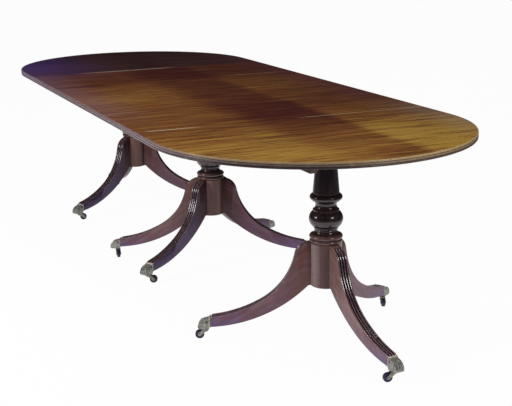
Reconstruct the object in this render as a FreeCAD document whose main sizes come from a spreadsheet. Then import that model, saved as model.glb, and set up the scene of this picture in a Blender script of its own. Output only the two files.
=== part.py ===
import FreeCAD, Part
import Sketcher
import math
import os

# Triple pedestal dining table: two D-shaped ends and a centre section, each on a turned pedestal,
# with a loose leaf between them. X runs along the table, Y across it, Z up from the floor.

doc = FreeCAD.newDocument("pedestal_table")
sheet = doc.addObject("Spreadsheet::Sheet", "sizes")

# Driving sizes in millimetres and degrees.
driving = [
    # top
    ("table_height", 737),
    ("table_width", 1143),
    ("top_thickness", 22),
    ("centre_length", 748),
    ("leaf_length", 398),
    ("end_length", 751.2),
    ("seam_gap", 0.4),
    ("reed_rise", 1.6),
    ("pedestal_spacing", 1073),
    # loose tongues between the sections
    ("tongue_spacing", 620),
    ("tongue_width", 60),
    ("tongue_thickness", 8),
    ("tongue_length", 16),
    ("tongue_root", 10),
    ("sliding_gap", 0.3),
    ("blind_gap", 0.5),
    ("cut_past", 1),
    # bearers and block
    ("bearer_length", 590),
    ("bearer_flat_length", 526),
    ("bearer_depth", 45),
    ("bearer_nose", 12),
    ("bearer_width", 26),
    ("bearer_spacing", 366),
    ("block_length", 260),
    ("spigot_radius", 24),
    ("spigot_length", 36),
    ("glue_gap", 0.1),
    # turned column, from the foot upwards
    ("column_foot", 202),
    ("base_radius", 54),
    ("base_height", 154.5),
    ("bead_root", 51),
    ("bead_height", 14),
    ("bead_rise", 6),
    ("ring_root", 52),
    ("ring_height", 17),
    ("ring_rise", 6),
    ("cove_height", 16),
    ("cove_rise", 3.5),
    ("waist_radius", 39),
    ("flare_height", 9),
    ("ball_root", 44),
    ("ball_height", 57.6),
    ("ball_rise", 14.7),
    ("neck_height", 32),
    ("neck_rise", 7),
    ("neck_top_radius", 41),
    ("ogee_height", 5),
    ("collar_root", 51),
    ("collar_height", 20),
    ("collar_rise", 5.5),
    ("shoulder_height", 5),
    ("shaft_radius", 46),
    ("shaft_top_radius", 34),
    # sabre leg
    ("leg_width", 36),
    ("leg_foot", 204),
    ("heel_reach", 60),
    ("knee_start", 53),
    ("knee_rise", 13.4),
    ("knee_end_reach", 110),
    ("knee_end_height", 309),
    ("sweep_rise", 19.4),
    ("mid_reach", 220),
    ("mid_height", 149),
    ("toe_rise", 10.6),
    ("under_rise", 36),
    ("leg_reach", 405),
    ("leg_end_top", 84),
    ("leg_end_bottom", 47),
    ("dovetail_depth", 14),
    ("dovetail_neck", 16),
    ("dovetail_tail", 22),
    ("groove_width", 4),
    ("groove_depth", 2.6),
    ("groove_pitch", 9),
    ("centre_leg_spread", 60.6),
    # the near pedestal's legs aren't quite a third of a turn apart
    ("near_angle_1", 4),
    ("near_angle_2", 121.8),
    ("near_angle_3", 243),
    # brass cap on the leg's end
    ("socket_width", 28),
    ("socket_height", 25.6),
    ("socket_length", 30),
    ("collar_width", 41),
    ("collar_above", 3),
    ("collar_below", 6),
    ("collar_thickness", 6),
    ("cap_floor", 38),
    ("cap_width", 37),
    ("cap_length", 42.4),
    ("cap_front_height", 20),
    ("cap_brow_length", 28),
    ("cap_brow_height", 43),
    ("brow_rise", 3),
    ("toe_reach", 43.4),
    ("toe_height", 22),
    ("toe_bulge", 2.5),
    # caster
    ("pintle_reach", 15.5),
    ("pintle_radius", 5),
    ("pintle_height", 12),
    ("pintle_knob", 6.5),
    ("running_gap", 0.1),
    ("swivel_gap", 0.3),
    ("crown_radius", 10),
    ("crown_thickness", 4),
    ("caster_trail", 24),
    ("wheel_radius", 16),
    ("wheel_width", 12),
    ("wheel_side_gap", 0.5),
    ("cheek_thickness", 3.5),
    ("axle_radius", 2.5),
    ("axle_boss_radius", 6),
    ("arm_heel", 6),
    ("wheel_well_gap", 1.5),
    ("tread_chamfer", 1.5),
    ("hub_radius", 7),
    ("rim_radius", 12.7),
    ("dish_depth", 1.5),
    # brass hook and stud under each seam
    ("hook_spacing", 640),
    ("hook_setback", 35),
    ("stud_setback", 35),
    ("hook_drop", 1),
    ("hook_thickness", 3),
    ("hook_eye_radius", 9),
    ("hook_arm_width", 11),
    ("hook_end_radius", 10),
    ("notch_gap", 0.9),
    ("hook_pin_radius", 3),
    ("hook_pin_length", 12),
    ("pin_head_radius", 6),
    ("pin_head_height", 2),
    ("washer_radius", 5.5),
    ("stud_radius", 2.8),
    ("stud_length", 10),
    ("stud_head_radius", 5.5),
    ("stud_head_height", 2),
    ("stud_gap", 0.6),
    # rest direction of each caster's trail, anticlockwise from +X
    ("near_trail_1", 260),
    ("near_trail_2", 341),
    ("near_trail_3", 248),
    ("centre_trail_1", 205),
    ("centre_trail_2", 210),
    ("centre_trail_3", 350),
    ("centre_trail_4", 67),
    ("far_trail_1", 100),
    ("far_trail_2", 105),
    ("far_trail_3", 20),
]

# Sizes that follow from the driving ones.
derived = [
    ("half_width", "table_width / 2"),
    ("underside", "table_height - top_thickness"),
    ("edge_root", "half_width - reed_rise"),
    ("reed_line_low", "underside + top_thickness / 3"),
    ("reed_line_high", "underside + 2 * top_thickness / 3"),
    ("top_middle", "underside + top_thickness / 2"),
    ("centre_half", "centre_length / 2"),
    ("leaf_half", "leaf_length / 2"),
    ("leaf_x", "centre_half + seam_gap + leaf_half"),
    ("end_seam_x", "leaf_x + leaf_half + seam_gap"),
    ("end_straight", "end_length - half_width"),
    ("end_x", "end_seam_x + end_straight"),
    ("tongue_y_in", "tongue_spacing / 2 - tongue_width / 2"),
    ("tongue_y_out", "tongue_spacing / 2 + tongue_width / 2"),
    ("mortise_y_in", "tongue_y_in - sliding_gap"),
    ("mortise_y_out", "tongue_y_out + sliding_gap"),
    ("mortise_thickness", "tongue_thickness + 2 * sliding_gap"),
    ("mortise_depth", "tongue_length + blind_gap"),
    ("leaf_tongue_tip", "leaf_half + tongue_length"),
    ("leaf_tongue_root", "leaf_half - tongue_root"),
    ("centre_mortise", "centre_half - mortise_depth"),
    ("centre_past", "centre_half + cut_past"),
    ("end_mortise", "end_straight - mortise_depth"),
    ("end_past", "end_straight + cut_past"),
    ("bearer_half", "bearer_length / 2"),
    ("bearer_flat_half", "bearer_flat_length / 2"),
    ("bearer_bottom", "underside - bearer_depth"),
    ("bearer_nose_z", "underside - bearer_nose"),
    ("bearer_y", "bearer_spacing / 2"),
    ("block_half_length", "block_length / 2"),
    ("block_half_width", "bearer_y - bearer_width / 2"),
    ("spigot_hole_radius", "spigot_radius + glue_gap"),
    ("base_top", "column_foot + base_height"),
    ("bead_top", "base_top + bead_height"),
    ("ring_top", "bead_top + ring_height"),
    ("waist_z", "ring_top + cove_height"),
    ("ball_bottom", "waist_z + flare_height"),
    ("ball_top", "ball_bottom + ball_height"),
    ("neck_top", "ball_top + neck_height"),
    ("collar_bottom", "neck_top + ogee_height"),
    ("collar_top", "collar_bottom + collar_height"),
    ("shaft_bottom", "collar_top + shoulder_height"),
    ("spigot_top", "bearer_bottom + spigot_length"),
    ("leg_half_width", "leg_width / 2"),
    ("leg_seat", "sqrt(base_radius ^ 2 - leg_half_width ^ 2)"),
    ("seat_past", "base_radius + cut_past"),
    ("leg_seat_height", "base_top - leg_foot"),
    ("dovetail_root", "leg_seat - dovetail_depth"),
    ("dovetail_neck_half", "dovetail_neck / 2"),
    ("dovetail_tail_half", "dovetail_tail / 2"),
    ("slot_root", "dovetail_root - glue_gap"),
    ("slot_neck_half", "dovetail_neck_half + glue_gap"),
    ("slot_tail_half", "dovetail_tail_half + glue_gap"),
    ("groove_floor", "leg_end_top - groove_depth"),
    ("groove_crest", "leg_end_top + groove_depth"),
    ("groove_in", "groove_pitch - groove_width"),
    ("groove_out", "groove_pitch + groove_width"),
    ("groove_span", "2 * groove_pitch"),
    ("socket_half_width", "socket_width / 2"),
    ("socket_middle", "(leg_end_top + leg_end_bottom) / 2"),
    ("tenon_low", "socket_middle - socket_height / 2"),
    ("tenon_high", "socket_middle + socket_height / 2"),
    ("tenon_half_width", "socket_half_width - glue_gap"),
    ("tenon_bottom", "tenon_low + glue_gap"),
    ("tenon_top", "tenon_high - glue_gap"),
    ("tenon_length", "socket_length - blind_gap"),
    ("collar_half_width", "collar_width / 2"),
    ("collar_low", "leg_end_bottom - collar_below"),
    ("collar_high", "leg_end_top + collar_above"),
    ("cap_back", "leg_reach + collar_thickness"),
    ("cap_front", "leg_reach + cap_length"),
    ("cap_front_top", "cap_floor + cap_front_height"),
    ("cap_brow", "leg_reach + cap_brow_length"),
    ("cap_brow_top", "cap_floor + cap_brow_height"),
    ("cap_half_width", "cap_width / 2"),
    ("cap_quarter_width", "cap_width / 4"),
    ("toe_front", "leg_reach + toe_reach"),
    ("pintle_x", "leg_reach + pintle_reach"),
    ("pintle_bore_radius", "pintle_radius + running_gap"),
    ("pintle_bore_depth", "pintle_height + swivel_gap"),
    ("crown_top", "cap_floor - swivel_gap"),
    ("crown_bottom", "crown_top - crown_thickness"),
    ("pintle_bottom", "crown_bottom - pintle_knob"),
    ("pintle_length", "pintle_knob + crown_thickness + pintle_height"),
    ("fork_width", "wheel_width + 2 * wheel_side_gap + 2 * cheek_thickness"),
    ("fork_slot", "wheel_width + 2 * wheel_side_gap"),
    ("boss_top", "wheel_radius + axle_boss_radius"),
    ("boss_bottom", "wheel_radius - axle_boss_radius"),
    ("well_radius", "wheel_radius + wheel_well_gap"),
    ("wheel_half", "wheel_width / 2"),
    ("wheel_bore", "axle_radius + running_gap"),
    ("dish_face", "wheel_half - dish_depth"),
    ("tread_edge", "wheel_half - tread_chamfer"),
    ("tread_shoulder", "wheel_radius - tread_chamfer"),
    ("hook_y", "hook_spacing / 2"),
    ("hook_top", "underside - hook_drop"),
    ("hook_bottom", "hook_top - hook_thickness"),
    ("hook_reach", "hook_setback + seam_gap + stud_setback"),
    ("hook_arm_half", "hook_arm_width / 2"),
    ("notch_inner", "hook_reach - stud_radius - notch_gap"),
    ("notch_outer", "hook_reach + stud_radius + notch_gap"),
    ("notch_floor", "stud_radius + notch_gap"),
    ("notch_mouth", "hook_end_radius + cut_past"),
    ("pin_head_bottom", "hook_bottom - pin_head_height"),
    ("pin_full_length", "pin_head_height + hook_thickness + hook_drop + hook_pin_length"),
    ("washer_height", "hook_drop - swivel_gap"),
    ("hook_hole_radius", "hook_pin_radius + running_gap"),
    ("hook_hole_depth", "hook_pin_length + blind_gap"),
    ("stud_hole_radius", "stud_radius + glue_gap"),
    ("stud_head_top", "hook_bottom - stud_gap"),
    ("stud_head_bottom", "stud_head_top - stud_head_height"),
    ("stud_full_length", "underside - stud_head_bottom + stud_length"),
    ("stud_hole_depth", "stud_length + blind_gap"),
    ("leaf_hook_x", "leaf_half - hook_setback"),
    ("centre_stud_x", "centre_half - stud_setback"),
    ("end_stud_x", "end_straight - stud_setback"),
]


def fillSheet():
    row = 1
    for name, value in driving:
        sheet.set("A%d" % row, name)
        sheet.set("B%d" % row, str(value))
        sheet.setAlias("B%d" % row, name)
        row += 1
    for name, formula in derived:
        sheet.set("A%d" % row, name)
        sheet.set("B%d" % row, "=" + formula)
        sheet.setAlias("B%d" % row, name)
        row += 1
    doc.recompute()


def size(name):
    # the number behind a name, turned round by a leading minus, or 0 on an axis
    if name == "0":
        return 0.0
    if name.startswith("-"):
        return -float(sheet.get(name[1:]))
    return float(sheet.get(name))


def cell(name):
    # the same name as an expression on the sheet
    if name == "0":
        return "0"
    if name.startswith("-"):
        return "-sizes." + name[1:]
    return "sizes." + name


def originPart(body, role):
    return [part for part in body.Origin.OriginFeatures if part.Role == role][0]


def newBody(name):
    return doc.addObject("PartDesign::Body", name)


def newSketch(body, name, plane, lift="0", turn="0"):
    sketch = body.newObject("Sketcher::SketchObject", name)
    sketch.AttachmentSupport = [(originPart(body, plane), "")]
    sketch.MapMode = "FlatFace"
    if lift != "0":
        sketch.setExpression(".AttachmentOffset.Base.z", cell(lift))
    if turn != "0":
        aboutZ = FreeCAD.Rotation(FreeCAD.Vector(0, 0, 1), 1)
        sketch.AttachmentOffset = FreeCAD.Placement(FreeCAD.Vector(), aboutZ)
        sketch.setExpression(".AttachmentOffset.Rotation.Angle", "(%s) * 1 deg" % turn)
    return sketch


def place(sketch, geometry, end, x, y):
    # ties one end of a line or arc to its sheet sizes
    for axis, name, distance in ((-2, x, "DistanceX"), (-1, y, "DistanceY")):
        if name == "0":
            sketch.addConstraint(Sketcher.Constraint("PointOnObject", geometry, end, axis))
            continue
        number = sketch.addConstraint(Sketcher.Constraint(distance, -1, 1, geometry, end, size(name)))
        sketch.setExpression("Constraints[%d]" % number, cell(name))


def arcBetween(start, end, rise):
    # an arc that rises to the right of the way from start to end, or to the left where rise is negative
    along = end.sub(start)
    chord = along.Length
    radius = chord * chord / (8 * abs(rise)) + abs(rise) / 2
    outward = FreeCAD.Vector(along.y, -along.x, 0) * (math.copysign(1, rise) / chord)
    centre = (start + end) * 0.5 + outward * (abs(rise) - radius)
    first, last = (start, end) if rise > 0 else (end, start)
    angles = [math.atan2(point.y - centre.y, point.x - centre.x) for point in (first, last)]
    if angles[1] < angles[0]:
        angles[1] += 2 * math.pi
    circle = Part.Circle(centre, FreeCAD.Vector(0, 0, 1), radius)
    return Part.ArcOfCircle(circle, angles[0], angles[1])


def draw(sketch, points, closed=True):
    # points are (x, y) names; a third name is the rise of an arc that leads on to the next point
    count = len(points) if closed else len(points) - 1
    ends = []
    for index in range(count):
        here = points[index]
        there = points[(index + 1) % len(points)]
        start = FreeCAD.Vector(size(here[0]), size(here[1]), 0)
        end = FreeCAD.Vector(size(there[0]), size(there[1]), 0)
        if len(here) == 2:
            geometry = sketch.addGeometry(Part.LineSegment(start, end), False)
            ends.append((geometry, 1, 2))
            continue
        rise = size(here[2])
        geometry = sketch.addGeometry(arcBetween(start, end, rise), False)
        ends.append((geometry, 1, 2) if rise > 0 else (geometry, 2, 1))
    for index, (geometry, first, last) in enumerate(ends):
        place(sketch, geometry, first, points[index][0], points[index][1])
        if index + 1 < len(ends) or closed:
            after = ends[(index + 1) % len(ends)]
            sketch.addConstraint(Sketcher.Constraint("Coincident", geometry, last, after[0], after[1]))
        else:
            place(sketch, geometry, last, points[-1][0], points[-1][1])
    for index, (geometry, first, last) in enumerate(ends):
        here = points[index]
        there = points[(index + 1) % len(points)]
        if len(here) == 3:
            rise = cell(here[2].lstrip("-"))
            across = "((%s) - (%s))" % (cell(there[0]), cell(here[0]))
            up = "((%s) - (%s))" % (cell(there[1]), cell(here[1]))
            radius = sketch.Geometry[geometry].Radius
            number = sketch.addConstraint(Sketcher.Constraint("Radius", geometry, radius))
            formula = "(%s * %s + %s * %s) / (8 * %s) + %s / 2" % (across, across, up, up, rise, rise)
            sketch.setExpression("Constraints[%d]" % number, formula)


def drawCircle(sketch, x, y, radius):
    centre = FreeCAD.Vector(size(x), size(y), 0)
    circle = Part.Circle(centre, FreeCAD.Vector(0, 0, 1), size(radius))
    geometry = sketch.addGeometry(circle, False)
    place(sketch, geometry, 3, x, y)
    number = sketch.addConstraint(Sketcher.Constraint("Radius", geometry, size(radius)))
    sketch.setExpression("Constraints[%d]" % number, cell(radius))


def drawBox(sketch, left, right, low, high):
    draw(sketch, [(left, low), (right, low), (right, high), (left, high)])


def pad(body, sketch, length, symmetric=False, reverse=False):
    feature = body.newObject("PartDesign::Pad", sketch.Name + "_pad")
    feature.Profile = sketch
    feature.SideType = "Symmetric" if symmetric else "One side"
    feature.Reversed = reverse
    feature.setExpression("Length", cell(length))
    doc.recompute()
    return feature


def pocket(body, sketch, length, symmetric=False, upward=False):
    before = body.Shape.Volume
    feature = body.newObject("PartDesign::Pocket", sketch.Name + "_pocket")
    feature.Profile = sketch
    feature.SideType = "Symmetric" if symmetric else "One side"
    feature.Reversed = upward
    feature.setExpression("Length", cell(length))
    doc.recompute()
    if body.Shape.Volume >= before:
        raise RuntimeError(sketch.Name + " cuts nothing")
    return feature


def revolve(body, sketch, axis, angle=360, reverse=False):
    feature = body.newObject("PartDesign::Revolution", sketch.Name + "_turn")
    feature.Profile = sketch
    feature.ReferenceAxis = (originPart(body, axis), [""])
    feature.Angle = angle
    feature.Reversed = reverse
    doc.recompute()
    return feature


# Edge of every board: three reeds, one above the other, from the underside to the top.
rightEdge = [
    ("edge_root", "underside", "reed_rise"),
    ("edge_root", "reed_line_low", "reed_rise"),
    ("edge_root", "reed_line_high", "reed_rise"),
    ("edge_root", "table_height"),
]
leftEdge = [
    ("-edge_root", "table_height", "reed_rise"),
    ("-edge_root", "reed_line_high", "reed_rise"),
    ("-edge_root", "reed_line_low", "reed_rise"),
    ("-edge_root", "underside"),
]


def boardSection(body, name):
    sketch = newSketch(body, name, "YZ_Plane")
    draw(sketch, rightEdge + leftEdge)
    return sketch


def underHoles(body, name, places, radius, depth):
    sketch = newSketch(body, name, "XY_Plane", "underside")
    for x, y in places:
        drawCircle(sketch, x, y, radius)
    pocket(body, sketch, depth, upward=True)


def bothSides(edges, ways=("", "-")):
    return [(way + edge, side + "hook_y") for way in ways for edge in edges for side in ("", "-")]


def centreBoard():
    body = newBody("centre_board")
    pad(body, boardSection(body, "centre_section"), "centre_length", symmetric=True)
    slots = newSketch(body, "centre_mortises", "XY_Plane", "top_middle")
    for low, high in (("mortise_y_in", "mortise_y_out"), ("-mortise_y_out", "-mortise_y_in")):
        drawBox(slots, "centre_mortise", "centre_past", low, high)
        drawBox(slots, "-centre_past", "-centre_mortise", low, high)
    pocket(body, slots, "mortise_thickness", symmetric=True)
    underHoles(body, "centre_stud_holes", bothSides(["centre_stud_x"]), "stud_hole_radius", "stud_hole_depth")
    return body


def leafBoard():
    body = newBody("leaf_board")
    pad(body, boardSection(body, "leaf_section"), "leaf_length", symmetric=True)
    tongues = newSketch(body, "leaf_tongues", "XY_Plane", "top_middle")
    for low, high in (("tongue_y_in", "tongue_y_out"), ("-tongue_y_out", "-tongue_y_in")):
        drawBox(tongues, "leaf_tongue_root", "leaf_tongue_tip", low, high)
        drawBox(tongues, "-leaf_tongue_tip", "-leaf_tongue_root", low, high)
    pad(body, tongues, "tongue_thickness", symmetric=True)
    underHoles(body, "leaf_hook_holes", bothSides(["leaf_hook_x"]), "hook_hole_radius", "hook_hole_depth")
    return body


def endBoard():
    # the rounded half turns about the middle of its arc, and a straight run leads back to the seam
    body = newBody("end_board")
    pad(body, boardSection(body, "end_section"), "end_straight", reverse=True)
    half = newSketch(body, "end_half_section", "YZ_Plane")
    draw(half, [("0", "underside")] + rightEdge + [("0", "table_height")])
    revolve(body, half, "Z_Axis", 180, reverse=True)
    slots = newSketch(body, "end_mortises", "XY_Plane", "top_middle")
    for low, high in (("mortise_y_in", "mortise_y_out"), ("-mortise_y_out", "-mortise_y_in")):
        drawBox(slots, "-end_past", "-end_mortise", low, high)
    pocket(body, slots, "mortise_thickness", symmetric=True)
    holes = bothSides(["end_stud_x"], ways=("-",))
    underHoles(body, "end_stud_holes", holes, "stud_hole_radius", "stud_hole_depth")
    return body


def bearer():
    body = newBody("bearer")
    sketch = newSketch(body, "bearer_side", "XZ_Plane")
    draw(sketch, [
        ("-bearer_half", "bearer_nose_z"),
        ("-bearer_flat_half", "bearer_bottom"),
        ("bearer_flat_half", "bearer_bottom"),
        ("bearer_half", "bearer_nose_z"),
        ("bearer_half", "underside"),
        ("-bearer_half", "underside"),
    ])
    pad(body, sketch, "bearer_width", symmetric=True)
    return body


def block():
    body = newBody("block")
    sketch = newSketch(body, "block_plan", "XY_Plane", "bearer_bottom")
    drawBox(sketch, "-block_half_length", "block_half_length", "-block_half_width", "block_half_width")
    pad(body, sketch, "bearer_depth")
    hole = newSketch(body, "block_bore", "XY_Plane", "bearer_bottom")
    drawCircle(hole, "0", "0", "spigot_hole_radius")
    pocket(body, hole, "spigot_length", upward=True)
    return body


def column(name, legAngles):
    # turned post with a flat and a dovetail slot for each leg, open at the foot
    body = newBody(name)
    profile = newSketch(body, name + "_profile", "XZ_Plane")
    draw(profile, [
        ("0", "column_foot"),
        ("base_radius", "column_foot"),
        ("base_radius", "base_top"),
        ("bead_root", "base_top", "bead_rise"),
        ("bead_root", "bead_top"),
        ("ring_root", "bead_top", "ring_rise"),
        ("ring_root", "ring_top", "-cove_rise"),
        ("waist_radius", "waist_z"),
        ("ball_root", "ball_bottom", "ball_rise"),
        ("ball_root", "ball_top", "-neck_rise"),
        ("neck_top_radius", "neck_top"),
        ("collar_root", "collar_bottom", "collar_rise"),
        ("collar_root", "collar_top"),
        ("shaft_radius", "shaft_bottom"),
        ("shaft_top_radius", "bearer_bottom"),
        ("spigot_radius", "bearer_bottom"),
        ("spigot_radius", "spigot_top"),
        ("0", "spigot_top"),
    ])
    revolve(body, profile, "Z_Axis")
    for index, angle in enumerate(legAngles):
        slot = newSketch(body, "%s_slot_%d" % (name, index + 1), "XY_Plane", "column_foot", angle)
        draw(slot, [
            ("slot_root", "-slot_tail_half"),
            ("leg_seat", "-slot_neck_half"),
            ("leg_seat", "-leg_half_width"),
            ("seat_past", "-leg_half_width"),
            ("seat_past", "leg_half_width"),
            ("leg_seat", "leg_half_width"),
            ("leg_seat", "slot_neck_half"),
            ("slot_root", "slot_tail_half"),
        ])
        pocket(body, slot, "base_height", upward=True)
    return body


def leg():
    # sabre leg: rounded knee under the column's bead, a long sweep out, reeds along the upper face
    body = newBody("leg")
    upperLine = [
        ("leg_reach", "leg_end_top", "-toe_rise"),
        ("mid_reach", "mid_height", "-sweep_rise"),
        ("knee_end_reach", "knee_end_height", "knee_rise"),
        ("knee_start", "base_top"),
    ]
    side = newSketch(body, "leg_side", "XZ_Plane")
    draw(side, [
        ("leg_seat", "leg_foot"),
        ("heel_reach", "leg_foot", "under_rise"),
        ("leg_reach", "leg_end_bottom"),
    ] + upperLine + [("leg_seat", "base_top")])
    pad(body, side, "leg_width", symmetric=True)
    tail = newSketch(body, "leg_dovetail", "XY_Plane", "leg_foot")
    draw(tail, [
        ("dovetail_root", "-dovetail_tail_half"),
        ("leg_seat", "-dovetail_neck_half"),
        ("leg_seat", "dovetail_neck_half"),
        ("dovetail_root", "dovetail_tail_half"),
    ])
    pad(body, tail, "leg_seat_height")
    tenon = newSketch(body, "leg_tenon", "YZ_Plane", "leg_reach")
    drawBox(tenon, "-tenon_half_width", "tenon_half_width", "tenon_bottom", "tenon_top")
    pad(body, tenon, "tenon_length")
    path = newSketch(body, "reed_path", "XZ_Plane", "groove_pitch")
    draw(path, upperLine, closed=False)
    groove = newSketch(body, "reed_groove", "YZ_Plane", "leg_reach")
    draw(groove, [
        ("-groove_pitch", "groove_floor"),
        ("-groove_in", "groove_crest"),
        ("-groove_out", "groove_crest"),
    ])
    doc.recompute()
    before = body.Shape.Volume
    cut = body.newObject("PartDesign::SubtractivePipe", "reed_cut")
    cut.Profile = groove
    cut.Spine = (path, ["Edge1", "Edge2", "Edge3"])
    doc.recompute()
    rows = body.newObject("PartDesign::LinearPattern", "reed_rows")
    rows.Originals = [cut]
    rows.Direction = (originPart(body, "Y_Axis"), [""])
    rows.Occurrences = 3
    rows.setExpression("Length", cell("groove_span"))
    body.Tip = rows
    doc.recompute()
    if body.Shape.Volume >= before:
        raise RuntimeError("the reeds cut nothing")
    return body


def cap():
    # cast box cap: a collar round the leg's end, a sloping brow and four rounded toes
    body = newBody("cap")
    side = newSketch(body, "cap_side", "XZ_Plane")
    draw(side, [
        ("cap_back", "cap_floor"),
        ("cap_front", "cap_floor"),
        ("cap_front", "cap_front_top", "brow_rise"),
        ("cap_brow", "cap_brow_top"),
        ("cap_back", "leg_end_top"),
    ])
    pad(body, side, "cap_width", symmetric=True)
    collar = newSketch(body, "cap_collar", "YZ_Plane", "leg_reach")
    drawBox(collar, "-collar_half_width", "collar_half_width", "collar_low", "collar_high")
    pad(body, collar, "collar_thickness")
    toes = newSketch(body, "cap_toes", "XY_Plane", "cap_floor")
    draw(toes, [
        ("cap_brow", "-cap_half_width"),
        ("toe_front", "-cap_half_width", "toe_bulge"),
        ("toe_front", "-cap_quarter_width", "toe_bulge"),
        ("toe_front", "0", "toe_bulge"),
        ("toe_front", "cap_quarter_width", "toe_bulge"),
        ("toe_front", "cap_half_width"),
        ("cap_brow", "cap_half_width"),
    ])
    pad(body, toes, "toe_height")
    socket = newSketch(body, "cap_socket", "YZ_Plane", "leg_reach")
    drawBox(socket, "-socket_half_width", "socket_half_width", "tenon_low", "tenon_high")
    pocket(body, socket, "socket_length", upward=True)
    bore = newSketch(body, "cap_bore", "XY_Plane", "cap_floor")
    drawCircle(bore, "pintle_x", "0", "pintle_bore_radius")
    pocket(body, bore, "pintle_bore_depth", upward=True)
    return body


def fork():
    # swivel fork about its pintle at the origin, with the wheel's axle trailing along +X
    body = newBody("fork")
    arm = newSketch(body, "fork_arm", "XZ_Plane")
    draw(arm, [
        ("-arm_heel", "crown_bottom"),
        ("caster_trail", "boss_bottom"),
        ("caster_trail", "boss_top"),
        ("crown_radius", "crown_top"),
        ("-arm_heel", "crown_top"),
    ])
    pad(body, arm, "fork_width", symmetric=True)
    boss = newSketch(body, "fork_boss", "XZ_Plane")
    drawCircle(boss, "caster_trail", "wheel_radius", "axle_boss_radius")
    pad(body, boss, "fork_width", symmetric=True)
    well = newSketch(body, "fork_well", "XZ_Plane")
    drawCircle(well, "caster_trail", "wheel_radius", "well_radius")
    pocket(body, well, "fork_slot", symmetric=True)
    crown = newSketch(body, "fork_crown", "XY_Plane", "crown_bottom")
    drawCircle(crown, "0", "0", "crown_radius")
    pad(body, crown, "crown_thickness")
    pintle = newSketch(body, "fork_pintle", "XY_Plane", "pintle_bottom")
    drawCircle(pintle, "0", "0", "pintle_radius")
    pad(body, pintle, "pintle_length")
    axle = newSketch(body, "fork_axle", "XZ_Plane")
    drawCircle(axle, "caster_trail", "wheel_radius", "axle_radius")
    pad(body, axle, "fork_width", symmetric=True)
    return body


def wheel():
    # roller with a dished face on both sides, turning about Y
    body = newBody("wheel")
    section = newSketch(body, "wheel_section", "XY_Plane")
    draw(section, [
        ("wheel_bore", "-wheel_half"),
        ("hub_radius", "-wheel_half"),
        ("hub_radius", "-dish_face"),
        ("rim_radius", "-dish_face"),
        ("rim_radius", "-wheel_half"),
        ("tread_shoulder", "-wheel_half"),
        ("wheel_radius", "-tread_edge"),
        ("wheel_radius", "tread_edge"),
        ("tread_shoulder", "wheel_half"),
        ("rim_radius", "wheel_half"),
        ("rim_radius", "dish_face"),
        ("hub_radius", "dish_face"),
        ("hub_radius", "wheel_half"),
        ("wheel_bore", "wheel_half"),
    ])
    revolve(body, section, "Y_Axis")
    return body


def hook(name, side):
    # flat hook on its pivot pin at the origin; side is the way the notch opens
    other = "" if side == "-" else "-"
    body = newBody(name)
    arm = newSketch(body, name + "_arm", "XY_Plane", "hook_bottom")
    drawBox(arm, "0", "notch_inner", "-hook_arm_half", "hook_arm_half")
    pad(body, arm, "hook_thickness")
    end = newSketch(body, name + "_end", "XY_Plane", "hook_bottom")
    drawCircle(end, "hook_reach", "0", "hook_end_radius")
    pad(body, end, "hook_thickness")
    eye = newSketch(body, name + "_eye", "XY_Plane", "hook_bottom")
    drawCircle(eye, "0", "0", "hook_eye_radius")
    pad(body, eye, "hook_thickness")
    notch = newSketch(body, name + "_notch", "XY_Plane", "hook_bottom")
    far = side + "notch_mouth"
    near = other + "notch_floor"
    low, high = (far, near) if side == "-" else (near, far)
    drawBox(notch, "notch_inner", "notch_outer", low, high)
    pocket(body, notch, "hook_thickness", upward=True)
    pin = newSketch(body, name + "_pin", "XY_Plane", "pin_head_bottom")
    drawCircle(pin, "0", "0", "hook_pin_radius")
    pad(body, pin, "pin_full_length")
    head = newSketch(body, name + "_head", "XY_Plane", "pin_head_bottom")
    drawCircle(head, "0", "0", "pin_head_radius")
    pad(body, head, "pin_head_height")
    washer = newSketch(body, name + "_washer", "XY_Plane", "hook_top")
    drawCircle(washer, "0", "0", "washer_radius")
    pad(body, washer, "washer_height")
    return body


def stud():
    body = newBody("stud")
    shank = newSketch(body, "stud_shank", "XY_Plane", "stud_head_bottom")
    drawCircle(shank, "0", "0", "stud_radius")
    pad(body, shank, "stud_full_length")
    head = newSketch(body, "stud_head", "XY_Plane", "stud_head_bottom")
    drawCircle(head, "0", "0", "stud_head_radius")
    pad(body, head, "stud_head_height")
    return body


def copyOf(master, name, x="0", y="0", z="0", turn="0"):
    # a copy of a finished body, put in place and turned about Z by expressions
    body = newBody(name)
    base = body.newObject("PartDesign::FeatureBase", name + "_base")
    base.BaseFeature = master
    body.Tip = base
    body.Placement = FreeCAD.Placement(FreeCAD.Vector(), FreeCAD.Rotation(FreeCAD.Vector(0, 0, 1), 1))
    body.setExpression(".Placement.Base.x", x)
    body.setExpression(".Placement.Base.y", y)
    body.setExpression(".Placement.Base.z", z)
    body.setExpression(".Placement.Rotation.Angle", "(%s) * 1 deg" % turn)
    return body


def group(name, members):
    together = doc.addObject("Part::Compound", name)
    together.Links = members
    return together


fillSheet()
fourAngles = (
    "sizes.centre_leg_spread",
    "180 - sizes.centre_leg_spread",
    "180 + sizes.centre_leg_spread",
    "360 - sizes.centre_leg_spread",
)
nearAngles = ("sizes.near_angle_1", "sizes.near_angle_2", "sizes.near_angle_3")
farAngles = ("180", "300", "60")
masters = {
    "leg": leg(),
    "cap": cap(),
    "fork": fork(),
    "wheel": wheel(),
    "bearer": bearer(),
    "block": block(),
    "stud": stud(),
    "end": endBoard(),
    "leaf": leafBoard(),
    "centre": centreBoard(),
    "near_post": column("near_post", nearAngles),
    "centre_post": column("centre_post", fourAngles),
    "far_post": column("far_post", farAngles),
    "hook_left": hook("hook_left", ""),
    "hook_right": hook("hook_right", "-"),
}
parts = {}


def keep(body, label):
    body.Label = label
    parts[label] = body


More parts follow.
